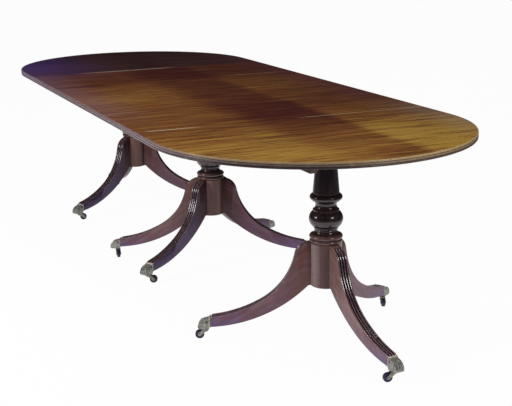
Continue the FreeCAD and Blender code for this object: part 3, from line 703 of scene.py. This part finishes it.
def boardMesh(name, outline, mortises, tongues):
    # outline holds (x, y, outward x, outward y) round the board
    bm = bmesh.new()
    loops = [[(x - inset * nx, y - inset * ny, z) for x, y, nx, ny in outline] for inset, z in edgeProfile()]
    addLoft(bm, loops, 1)
    bmesh.ops.recalc_face_normals(bm, faces=bm.faces)
    level, close = 0.9, 1e-5  # how to tell the top and the underside
    for face in bm.faces:
        z = face.calc_center_median().z
        if face.normal.z > level and z > tableSet["height"] - close:
            face.material_index = 0
        elif face.normal.z < -level and z < underside + close:
            face.material_index = 2
    mesh = plainMesh(bm, name)
    addFinishes(mesh, boardSet["finishes"])
    if mortises:
        board = addObject(name + "Blank", mesh)
        cutter = addObject(name + "Cutter", mortiseMesh(mortises))
        cut = board.modifiers.new("mortises", "BOOLEAN")
        cut.operation = "DIFFERENCE"
        cut.solver = "EXACT"
        cut.object = cutter
        mesh = baked(board, name)
        bpy.data.objects.remove(cutter)
    if tongues:
        spots = [(x, y, way) for x, way in tongues for y in boardSet["tongueY"]]
        mesh = joined([mesh] + [tongueMesh(*spot) for spot in spots], name)
    return finishMesh(mesh, boardSet["finishes"], sharp=30)


def straightOutline(low, high):
    corners = ((low, -1), (high, -1), (high, 1), (low, 1))
    return [(x, side * halfWidth, 0, side) for x, side in corners]


def roundOutline(way):
    w = halfWidth
    turns = np.linspace(-pi / 2, pi / 2, boardSet["arcSteps"] + 1)
    arc = [(way * (endX + w * cos(a)), w * sin(a), way * cos(a), sin(a)) for a in turns]
    outline = [(way * seamX, -w, 0, -1)] + arc + [(way * seamX, w, 0, 1)]
    return outline if way > 0 else outline[::-1]


half = tableSet["centreHalf"]
boards = {  # body, outline, seams with mortises and seams with tongues: place, and way that it faces
    "centre_top": ("centre", straightOutline(-half, half), [(half, 1), (-half, -1)], []),
    "near_end_top": ("near_end", roundOutline(1), [(seamX, -1)], []),
    "far_end_top": ("far_end", roundOutline(-1), [(-seamX, 1)], []),
}
for side, way in (("near", 1), ("far", -1)):
    ends = sorted(way * (leafX + k * leafLength / 2) for k in (-1, 1))
    boards[side + "_leaf"] = (side + "_leaf", straightOutline(*ends), [], list(zip(ends, (-1, 1))))
for node, (body, outline, mortises, tongues) in boards.items():
    addPiece(node + "_board", boardMesh(node + "Mesh", outline, mortises, tongues), body, (node,))
print("boards made:", len(boards))

columnShape = [  # radius, height, rise of the arc to the next point; millimetres
    (0, 202), (52, 202), (54, 204), (54, 355.7), (53, 356.5), (51, 357.1, 6), (51, 369.9), (50.4, 370.5),
    (52, 371.1, 6), (52, 386.9), (50, 387.5, -3.5), (39.5, 402.5), (39, 403.5), (41.5, 405.5), (43.5, 410.5),
    (44.8, 411.5), (44.8, 412.5, 14.2), (44.8, 469), (44.8, 470.1), (45.6, 470.7), (45.6, 474),
    (43.4, 475, -5.6), (41, 500.6), (41.8, 501.5), (46.5, 503.1), (48.6, 505.9), (50.4, 506.7),
    (51, 507.3, 5.3), (51, 526.5), (50, 527.1), (47.2, 528.6, -0.8), (46, 532.1), (34, 670), (0, 670),
]
columnDetail = {"arc": 14, "span": 30, "segments": 96}


def columnMesh(name, x):
    line = trace(columnShape, columnDetail["arc"])
    dense = [line[0]]
    for here, there in zip(line, line[1:]):
        parts = max(1, int(dist(here, there) / columnDetail["span"]))
        dense += list(np.linspace(here, there, parts + 1)[1:])
    bm = bmesh.new()
    addLathe(bm, dense, columnDetail["segments"], Matrix.Translation((x, 0, 0)) @ millimetres)
    return toMesh(bm, name, ("column",), sharp=28)


for name, ped in pedestals.items():
    mesh = columnMesh(name + "Column", ped["x"])
    addPiece(name + "_post", mesh, ped["body"], (name + "_column",))
print("columns turned:", len(pedestals))

legShape = {  # millimetres
    "width": 36,
    "upper": [(50.95, 356.5), (53, 356.5, -13.4), (110, 309, 19.4), (220, 149, 9.65), (396, 85.1, -2.2),
              (405, 77)],
    "under": [(50.95, 204), (60, 204, 36), (405, 47)],
    "arcs": (40, 80), "stations": 110,
    "plainKnee": 24, "kneeRound": (1.6, 0.5), "sunkRound": (0.3, 0.1), "recess": 1.15, "chamfer": 1,
}
reedSet = {"Half": 0.003, "Rise": 0.0012, "Sides": 32, "Pitch": 0.01, "Count": 4}  # metres


def legLines():
    # matching points on the upper and lower line of the leg, in millimetres
    lines = zip((legShape["upper"], legShape["under"]), legShape["arcs"])
    return [resample(trace(line, arc), legShape["stations"]) for line, arc in lines]


def legBlank():
    # leg below the reeds: full height over the knee, then sunk to the grooves' depth
    s = legShape
    half, c = s["width"] / 2, s["chamfer"]
    upper, under = legLines()
    steps = np.linalg.norm(np.diff(upper, axis=0), axis=1)
    knee = int(np.searchsorted(np.cumsum(steps), s["plainKnee"]))
    order = [(i, False) for i in range(knee + 1)] + [(i, True) for i in range(knee, len(upper))]
    loops = []
    for number, sunk in order:
        low = under[number]
        rise = upper[number] - low
        tall = np.linalg.norm(rise)
        rise = rise / tall
        tall -= s["recess"] if sunk else 0
        edge, edgeHighlight = s["sunkRound" if sunk else "kneeRound"]
        shoulder = [(half, tall - edge), (half - edgeHighlight, tall - edgeHighlight), (half - edge, tall)]
        section = [(half, c)] + shoulder + [(-y, h) for y, h in shoulder[::-1]]
        section += [(-half, c), (-half + c, 0), (half - c, 0)]
        loops.append([(low[0] + rise[0] * h, y, low[1] + rise[1] * h) for y, h in section])
    bm = bmesh.new()
    addLoft(bm, loops, where=millimetres)
    bm.faces.ensure_lookup_table()
    topSide = 3  # the section's side between its two shoulders
    # the sunk faces between the shoulders take the groove finish, painted shade
    for ring in range(knee + 1, len(loops) - 1):
        bm.faces[ring * len(loops[0]) + topSide].material_index = 2
    return bm, knee


def newTree(name, **sockets):
    # a node tree with named inputs: gives its wire, then a wire from each input
    tree = bpy.data.node_groups.new(name, "GeometryNodeTree")
    tree.interface.new_socket("Geometry", in_out="OUTPUT", socket_type="NodeSocketGeometry")
    sockets = {"Geometry": "Geometry", "Material": "Material", **sockets}
    for label, kind in sockets.items():
        tree.interface.new_socket(label, in_out="INPUT", socket_type="NodeSocket" + kind)
    wire = Wire(tree)
    return [wire] + [wire.node("NodeGroupInput", (), label) for label in sockets]


def vector(wire, **parts):
    return wire.node("ShaderNodeCombineXYZ", parts)


def endTree(wire, material, **spread):
    # puts an instance on each point, made real and given the material
    copies = wire.node("GeometryNodeInstanceOnPoints", spread)
    real = wire.node("GeometryNodeRealizeInstances", {0: copies})
    paint = wire.node("GeometryNodeSetMaterial", {"Geometry": real, "Material": material})
    wire.feed(wire.tree.nodes.new("NodeGroupOutput").inputs[0], paint)
    return wire.tree


def grown(name, data, tree, values):
    # what a node tree makes of some data, as a plain mesh
    obj = addObject(name, data)
    modifier = obj.modifiers.new(name, "NODES")
    modifier.node_group = tree
    for item in tree.interface.items_tree:
        if item.in_out == "INPUT" and item.name in values:
            modifier[item.identifier] = values[item.name]
    return baked(obj, name)


def reedTree():
    # sweeps a flattened reed along the line and sets a row of them side by side
    wire, line, material, half, rise, sides, pitch, count = newTree(
        "reedRow", Half="Float", Rise="Float", Sides="Int", Pitch="Float", Count="Int")
    ring = wire.node("GeometryNodeCurvePrimitiveCircle", {"Radius": 1, "Resolution": sides})
    oval = wire.node("GeometryNodeTransform", {"Geometry": ring, "Scale": vector(wire, X=half, Y=rise)})
    reed = wire.node("GeometryNodeCurveToMesh", {"Curve": line, "Profile Curve": oval, "Fill Caps": True})
    step = vector(wire, Y=pitch)
    back = 0.5 - count * 0.5  # the row is centred on the line
    first = wire.node("ShaderNodeVectorMath", {0: step, "Scale": back}, operation="SCALE")
    row = wire.node("GeometryNodeMeshLine", {"Count": count, "Start Location": first, "Offset": step})
    return endTree(wire, material, Points=row, Instance=reed)


def legReeds(knee):
    upper, under = legLines()
    inward = leftward(upper)
    inward *= np.sign(np.sum(inward * (under - upper), axis=1))[:, None]
    centre = (upper / 1000 + inward * reedSet["Rise"])[knee:]
    curve = bpy.data.curves.new("reedLine", "CURVE")
    curve.dimensions = "3D"
    spline = curve.splines.new("POLY")
    spline.points.add(len(centre) - 1)
    for point, (x, z) in zip(spline.points, centre):
        point.co = (x, 0, z, 1)
    return grown("reeds", curve, reedTree(), {**reedSet, "Material": finishes["reed"]})


def legMesh():
    bm, knee = legBlank()
    plain = len(bm.faces)
    bm.from_mesh(legReeds(knee))
    for face in list(bm.faces)[plain:]:
        face.material_index = 1
    return toMesh(bm, "leg", ("leg", "reed", "groove"), sharp=35)


def keepPlace(mesh):
    # stores each point's place on the leg, and how far along and up the leg it lies
    flat = np.empty(len(mesh.vertices) * 3, np.float32)
    mesh.vertices.foreach_get("co", flat)
    upper, under = [line / 1000 for line in legLines()]
    rib = upper - under
    spot = flat.reshape(-1, 1, 3)[:, :, (0, 2)] - under
    rise = np.clip(np.sum(spot * rib, 2) / np.sum(rib ** 2, 1), 0, 1)
    nearest = np.argmin(np.sum((spot - rise[:, :, None] * rib) ** 2, 2), 1)
    span = np.zeros((len(nearest), 3), np.float32)
    span[:, 0] = nearest / (len(upper) - 1)
    span[:, 1] = rise[np.arange(len(nearest)), nearest]
    for name, values in (("legPlace", flat), ("legSpan", span.ravel())):
        mesh.attributes.new(name, "FLOAT_VECTOR", "POINT").data.foreach_set("vector", values)


def legPlaces(ped):
    # each leg is moved along the table and turned about its column
    column = Matrix.Translation((ped["x"], 0, 0))
    return [column @ Matrix.Rotation(radians(angle), 4, "Z") for angle in ped["legs"]]


oneLeg = legMesh()
keepPlace(oneLeg)
for name, ped in pedestals.items():
    for number, (where, tone) in enumerate(zip(legPlaces(ped), ped["tones"]), 1):
        mesh = placed(oneLeg, where)
        mesh.attributes.new("tone", "FLOAT", "POINT").data.foreach_set("value", [tone] * len(mesh.vertices))
        addPiece(f"{name}_sabre_{number}", mesh, ped["body"], (f"{name}_leg_{number}",))
print("legs made, faces in one:", len(oneLeg.polygons))

capShape = {  # millimetres
    "back": 405,
    "collar": [(0, 1.4), (0.5, 0.5), (1.4, 0), (2.4, 0.3), (3, 0.9), (3.6, 0.5), (4.4, 0), (5.4, 0.4),
               (6, 1.6)],  # along the leg, inset
    "collarHalf": 19.2, "collarLow": 43.5, "collarHigh": 80.5, "corner": 4,
    "brow": [(409.6, 77.5), (414, 75), (421, 73.4), (430, 70.8), (438.5, 66), (445, 59), (448.6, 51.5),
             (449, 45), (447.4, 40), (445, 38)],
    "rows": 26, "columns": 40, "half": 18.5, "floor": 38, "edge": 4, "tuck": 3,
    "toes": 4, "toeRise": 3, "toeLevel": 0.6,
    "toeSize": (0.75, 0.5),  # everywhere, and more at a knuckle
    "toeStart": (0.26, 0.46),  # parts of the way down the brow
    "knuckles": ((0.52, 0.12, 1), (0.86, 0.1, 0.9)),  # place, width, weight
}


def capMesh():
    # cast cap: a double-beaded collar, then a sloping foot whose front swells into toes
    s = capShape
    bm = bmesh.new()
    loops = [roundedLoop(s["collarHalf"] - inset, s["collarLow"] + inset, s["collarHigh"] - inset,
                         s["corner"], s["back"] + along) for along, inset in s["collar"]]
    addLoft(bm, loops, 1, millimetres)
    brow = resample(s["brow"], s["rows"])
    rows = []
    for spot, out, t in zip(brow, leftward(brow), np.linspace(0, 1, s["rows"])):
        knuckle = sum(weight * exp(-((t - at) / wide) ** 2) for at, wide, weight in s["knuckles"])
        size = s["toeSize"][0] + s["toeSize"][1] * knuckle
        rows.append((spot, out, np.interp(t, s["toeStart"], (0, 1)) * s["toeRise"] * size))
    loops = []
    for y in np.linspace(-s["half"], s["half"], s["columns"] + 1):
        part = (y + s["half"]) / (2 * s["half"]) * s["toes"] % 1
        lobe = sqrt(max(0, 1 - (2 * part - 1) ** 2))
        edge = max(0, (abs(y) - s["half"] + s["edge"]) / s["edge"])
        tuck = s["tuck"] * (1 - sqrt(max(0, 1 - edge ** 2)))
        side = []
        for spot, out, swell in rows:
            x, z = spot + out * (swell * (lobe - s["toeLevel"]) - tuck)
            side.append((x, y, max(s["floor"], z)))
        loops.append(side + [(brow[0][0], y, s["floor"])])
    addLoft(bm, loops, where=millimetres)
    return toMesh(bm, "cap", ("cap", "collar"), sharp=50)


oneCap = capMesh()
for name, ped in pedestals.items():
    mesh = joined([placed(oneCap, where) for where in legPlaces(ped)], name + "Caps")
    finishMesh(mesh, ("cap", "collar"), sharp=50)
    addPiece(name + "_paws", mesh, ped["body"], (name + "_caps",))
print("caps made, faces in one:", len(oneCap.polygons))

casterShape = {  # millimetres; turned profiles hold radius and height
    "pintleReach": 420.5,
    "axle": (24, 16),  # behind the pintle, above the floor
    "axlePin": [(0, -6.6), (2.5, -6.6), (2.5, 6.6), (0, 6.6)],
    "cheek": [(6.5, 0.3), (6.8, 0), (9.3, 0), (10, 0.7)],  # out from the middle, inset of the outline
    "cheekBack": (-6, 33.9, 37.5),  # place along, lower and upper height
    "boss": (6, -123, 52, 16),  # radius, angles from and to, points
    "web": (-5.6, 34, 37.2),
    "webHalf": 6.6,
    "well": (17.5, 158, 127.6, 8),
    "front": 10,
    "crown": [(0, 33.2), (8.8, 33.2), (9.7, 33.8), (10, 34.8), (10, 36.6), (9.6, 37.4), (8.8, 37.7),
              (0, 37.7)],
    "knob": [(0, 24), (3, 24.3), (5.2, 25.4), (6.4, 27.2), (6.6, 29.2), (6, 31.4), (5.4, 34), (0, 34)],
    "pin": [(0, 37), (5, 37), (5, 49), (4.4, 49.6), (0, 49.6)],
    "rivet": [(0, 0), (3.9, 0), (3.7, 0.7), (2.8, 1.3), (1.4, 1.7), (0, 1.8)],
    "rivetOut": 9.5,
    "wheelHalf": [(2.6, 6), (4.6, 6), (5.6, 5.6), (6.6, 5.2), (7.1, 4.6), (12.1, 4.5), (12.7, 5),
                  (13.2, 5.8), (14.4, 6), (15.3, 5.5), (15.9, 4.4), (16, 3)],
    "segments": {"turned": 28, "rivet": 24, "axlePin": 20, "wheel": 56},
}


def axlePlace(out, turn):
    # a place on the line of the axle, with Z turned to lie along it
    x, z = casterShape["axle"]
    return millimetres @ Matrix.Translation((x, out, z)) @ Matrix.Rotation(radians(turn), 4, "X")


def axleArc(radius, first, last, count):
    # points round the axle, seen from the side
    x, z = casterShape["axle"]
    turns = np.radians(np.linspace(first, last, count))
    return [(x + radius * cos(a), z + radius * sin(a)) for a in turns]


def cheekOutline(inset):
    # fork arm seen from the side: from the crown down to the boss round the axle
    back, low, high = casterShape["cheekBack"]
    radius, *sweep = casterShape["boss"]
    arm = [(back + inset, high - inset), (back + inset, low + inset)]
    return arm + axleArc(radius - inset, *sweep) + [(casterShape["front"], high - inset)]


def forkMesh():
    s = casterShape
    sides = s["segments"]
    bm = bmesh.new()
    for profile in ("crown", "knob", "pin"):
        addLathe(bm, s[profile], sides["turned"], millimetres)
    for way in (1, -1):
        loops = [[(x, way * y, z) for x, z in cheekOutline(inset)] for y, inset in s["cheek"]]
        addLoft(bm, loops, where=millimetres)
        addLathe(bm, s["rivet"], sides["rivet"], axlePlace(way * s["rivetOut"], -90 * way))
    back, low, high = s["web"]
    web = [(back, high), (back, low)] + axleArc(*s["well"]) + [(s["front"], high)]
    addLoft(bm, [[(x, y, z) for x, z in web] for y in (-s["webHalf"], s["webHalf"])], where=millimetres)
    addLathe(bm, s["axlePin"], sides["axlePin"], axlePlace(0, 90))
    return toMesh(bm, "fork", ("caster",), sharp=34)


def wheelMesh():
    outer = casterShape["wheelHalf"]
    profile = [(radius, -out) for radius, out in outer] + outer[::-1]
    bm = bmesh.new()
    addLathe(bm, profile, casterShape["segments"]["wheel"], axlePlace(0, -90), closed=True)
    return toMesh(bm, "wheel", ("wheel",), sharp=40)


oneFork = forkMesh()
oneWheel = wheelMesh()
for name, ped in pedestals.items():
    for number, (leg, trail) in enumerate(zip(legPlaces(ped), ped["trails"]), 1):
        pintle = leg @ Vector((casterShape["pintleReach"] / 1000, 0, 0))
        where = Matrix.Translation(pintle) @ Matrix.Rotation(radians(trail), 4, "Z")
        node = f"{name}_fork_{number}"
        addPiece(node + "_brass", placed(oneFork, where), node, (node,))
        node = f"{name}_wheel_{number}"
        addPiece(node + "_roller", placed(oneWheel, where), node, (node,))
print("casters made")

underSizes = {
    "bearerHalf": 0.295, "bearerFlat": 0.263, "depth": 0.045, "nose": 0.012, "width": 0.026, "y": 0.183,
    "blockHalf": 0.13, "ease": 0.0022, "screws": (-0.225, -0.075, 0.075, 0.225),
}


def bearerMesh(name, x):
    # a pair of bearers with tapered ends, edges eased below
    s = underSizes
    reach, wide, ease = s["bearerHalf"], s["width"] / 2, s["ease"]
    bm = bmesh.new()
    for y in (-s["y"], s["y"]):
        loops = []
        for across, up in ((-wide, ease), (ease - wide, 0), (wide - ease, 0), (wide, ease)):
            line = [(s["bearerFlat"], up - s["depth"]), (reach, up - s["nose"]), (reach, 0)]
            line += [(-px, pz) for px, pz in line[::-1]]
            loops.append([(x + px, y + across, underside + pz) for px, pz in line])
        addLoft(bm, loops)
    return toMesh(bm, name, ("under",), sharp=25)


def blockMesh(name, x):
    s = underSizes
    wide = s["y"] - s["width"] / 2
    low = underside - s["depth"]
    bm = bmesh.new()
    addLoft(bm, [[(x + px * (s["blockHalf"] - ease), py * wide, z) for px, py in square]
                 for z, ease in ((low, s["ease"]), (low + s["ease"], 0), (underside, 0))])
    return toMesh(bm, name, ("under",), sharp=25)


for name, ped in pedestals.items():
    rails = bearerMesh(name + "Rails", ped["x"])
    addPiece(name + "_rails", rails, ped["body"], (name + "_bearers",))
    addPiece(name + "_pad", blockMesh(name + "Pad", ped["x"]), ped["body"], (name + "_block",))
for node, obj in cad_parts.items():
    if "hook" in node or "stud" in node:
        obj.data.materials.clear()
        obj.data.materials.append(finishes["caster"])

screwSet = {
    "capRadius": 0.0032, "bearerRadius": 0.0046, "head": {"Height": 0.0014, "Slot": 0.0011},
    "sides": 20, "slotLength": 0.03, "slotLift": 0.6,
    "capSpot": (0.4165, 0.0187, 0.066),  # on a cap's side, with the leg along X
}


def screwTree():
    # one slotted head on each point, turned to face out
    wire, points, material, radius, height, slot = newTree(
        "screwHeads", Radius="Float", Height="Float", Slot="Float")
    head = wire.node("GeometryNodeMeshCylinder", {
        "Vertices": screwSet["sides"], "Radius": radius, "Depth": height})
    size = vector(wire, X=screwSet["slotLength"], Y=slot, Z=height)
    lift = vector(wire, Z=height * screwSet["slotLift"])
    bar = wire.node("GeometryNodeMeshCube", {"Size": size})
    bar = wire.node("GeometryNodeTransform", {"Geometry": bar, "Translation": lift})
    cut = wire.node("GeometryNodeMeshBoolean", {0: head, 1: bar}, operation="DIFFERENCE")
    facing = wire.node("GeometryNodeInputNamedAttribute", {"Name": "facing"}, data_type="FLOAT_VECTOR")
    aim = wire.node("FunctionNodeAlignRotationToVector", {"Vector": facing}, axis="Z")
    return endTree(wire, material, Points=points, Instance=cut, Rotation=aim)


def screwMesh(name, spots, radius):
    points = bpy.data.meshes.new(name + "Points")
    points.from_pydata([spot for spot, facing in spots], [], [])
    layer = points.attributes.new("facing", "FLOAT_VECTOR", "POINT")
    layer.data.foreach_set("vector", [c for spot, facing in spots for c in facing])
    mesh = grown(name, points, screws, {**screwSet["head"], "Radius": radius, "Material": finishes["screw"]})
    return finishMesh(mesh, ("screw",), sharp=30)


screws = screwTree()
along, aside, above = screwSet["capSpot"]
for name, ped in pedestals.items():
    spots = []
    for where in legPlaces(ped):
        for way in (1, -1):
            spot = where @ Vector((along, way * aside, above))
            spots.append((spot, where.to_3x3() @ Vector((0, way, 0))))
    mesh = screwMesh(name + "CapScrews", spots, screwSet["capRadius"])
    addPiece(name + "_cap_screws", mesh, ped["body"])
    spots = [((ped["x"] + x, y, underside - underSizes["depth"]), (0, 0, -1))
             for y in (-underSizes["y"], underSizes["y"]) for x in underSizes["screws"]]
    mesh = screwMesh(name + "RailScrews", spots, screwSet["bearerRadius"])
    addPiece(name + "_rail_screws", mesh, ped["body"])
print("screws set")

cameraSet = {
    "place": (4.2938, -1.6825, 1.437), "yaw": 2.726, "pitch": -0.2537, "roll": -0.0133,
    "focal": 1098.6, "pixels": 512, "sensor": 36, "clipEnd": 200,
}


def addCamera():
    s = cameraSet
    data = bpy.data.cameras.new("photoView")
    data.sensor_fit = "HORIZONTAL"
    data.sensor_width = s["sensor"]
    data.lens = s["focal"] / s["pixels"] * s["sensor"]
    data.clip_end = s["clipEnd"]
    turn = Matrix.Rotation(s["yaw"] - pi / 2, 4, "Z")
    tilt = Matrix.Rotation(s["pitch"] + pi / 2, 4, "X")
    roll = Matrix.Rotation(s["roll"], 4, "Z")
    scene.camera = addObject("photoView", data)
    scene.camera.matrix_world = Matrix.Translation(s["place"]) @ turn @ tilt @ roll


lightSet = {
    "left": {"place": (0.13, -3.5, 1.95), "aim": (1.07, 0, 0.45), "size": (1.1, 1.1), "power": 150},
    "right": {"place": (4.45, 1.23, 2.45), "aim": (1.07, 0, 0.45), "size": (1.1, 1.1), "power": 110},
    "above": {"place": (0.6, -0.3, 4.6), "aim": (0.3, 0, 0.7), "size": (4.5, 3), "power": 78},
}


def lampPlace(spec):
    aim = Vector(spec["aim"]) - Vector(spec["place"])
    return Matrix.Translation(spec["place"]) @ aim.to_track_quat("-Z", "Y").to_matrix().to_4x4()


def addLights():
    # lamps don't show in polish; panels in the places of two of them do
    for name, spec in lightSet.items():
        data = bpy.data.lights.new(name + "Light", "AREA")
        data.shape = "RECTANGLE"
        data.size, data.size_y = spec["size"]
        data.energy = spec["power"]
        lamp = addObject(name + "Light", data)
        lamp.matrix_world = lampPlace(spec)
        lamp.visible_glossy = False


stageSet = {
    "ambient": 0.28, "floorReach": 60, "floorGrey": (0.55, 0.55, 0.55), "floorWhite": 0.97,
    "tentSize": (9, 48, 24),  # radius, faces round it and up
    "bright": (2.5, 1.5),  # half sizes of the floor that still shows bright in polish
    "ring": (9, 0.002, 96),  # size of the dim ground beyond it, height above the floor, steps
    "tent": (0.014, 0.012, 0.02),
    "ground": (0.16, 0.14, 0.17),
    "panel": (7, 7, 7),
}


def seenDirectly(wire):
    # 1 for rays from the camera, from mirrors and through glass
    camera, glossy, through = [wire.node("ShaderNodeLightPath", (), f"Is {ray} Ray")
                               for ray in ("Camera", "Glossy", "Transmission")]
    return camera.most(glossy).most(through)


def addWorld():
    scene.world = bpy.data.worlds.new("studio")
    scene.world.use_nodes = True
    wire = Wire(scene.world.node_tree)
    sky = wire.tree.nodes["Background"]
    wire.feed(sky.inputs["Color"], (1, 1, 1))
    wire.feed(sky.inputs["Strength"], stageSet["ambient"] + seenDirectly(wire) * (1 - stageSet["ambient"]))


def addFloor():
    # white where it is seen, grey for the light that it sends back
    white, wire, surface = newMaterial("paleFloor")
    lit = wire.node("ShaderNodeBsdfDiffuse", {"Color": stageSet["floorGrey"]})
    glow = wire.node("ShaderNodeEmission", {"Color": (1, 1, 1), "Strength": 1})
    seen = seenDirectly(wire) * stageSet["floorWhite"]
    wire.feed(surface, wire.node("ShaderNodeMixShader", {0: seen, 1: lit, 2: glow}))
    reach = stageSet["floorReach"]
    mesh = bpy.data.meshes.new("floor")
    mesh.from_pydata([(x * reach, y * reach, 0) for x, y in square], [], [(0, 1, 2, 3)])
    mesh.materials.append(white)
    return addObject("floor", mesh)


def addTent():
    # what polished surfaces see: a dark tent, a dim ground and two bright panels
    bm = bmesh.new()
    radius, around, upward = stageSet["tentSize"]
    bmesh.ops.create_uvsphere(bm, u_segments=around, v_segments=upward, radius=radius)
    bmesh.ops.delete(bm, geom=[v for v in bm.verts if v.co.z < -0.01], context="VERTS")
    grow, lift, steps = stageSet["ring"]
    turns = np.linspace(0, 2 * pi, steps, endpoint=False)
    wide, deep = stageSet["bright"]
    inner, outer = [[bm.verts.new((wide * size * cos(a), deep * size * sin(a), lift)) for a in turns]
                    for size in (1, grow)]
    skin(bm, inner, outer, 1)
    for side in ("left", "right"):
        where, (width, height) = lampPlace(lightSet[side]), lightSet[side]["size"]
        corners = [where @ Vector((x * width / 2, y * height / 2, 0)) for x, y in square]
        bm.faces.new([bm.verts.new(corner) for corner in corners]).material_index = 2
    mesh = plainMesh(bm, "tent")
    for part in ("tent", "ground", "panel"):
        shade, wire, surface = newMaterial("dim" + part.title())
        wire.feed(surface, wire.node("ShaderNodeEmission", {"Color": stageSet[part], "Strength": 1}))
        mesh.materials.append(shade)
    tent = addObject("tent", mesh)
    for ray in ("camera", "diffuse", "transmission", "volume_scatter", "shadow"):
        setattr(tent, "visible_" + ray, False)
    return tent


addCamera()
addLights()
addWorld()
floor = addFloor()
tent = addTent()
print("stage set")
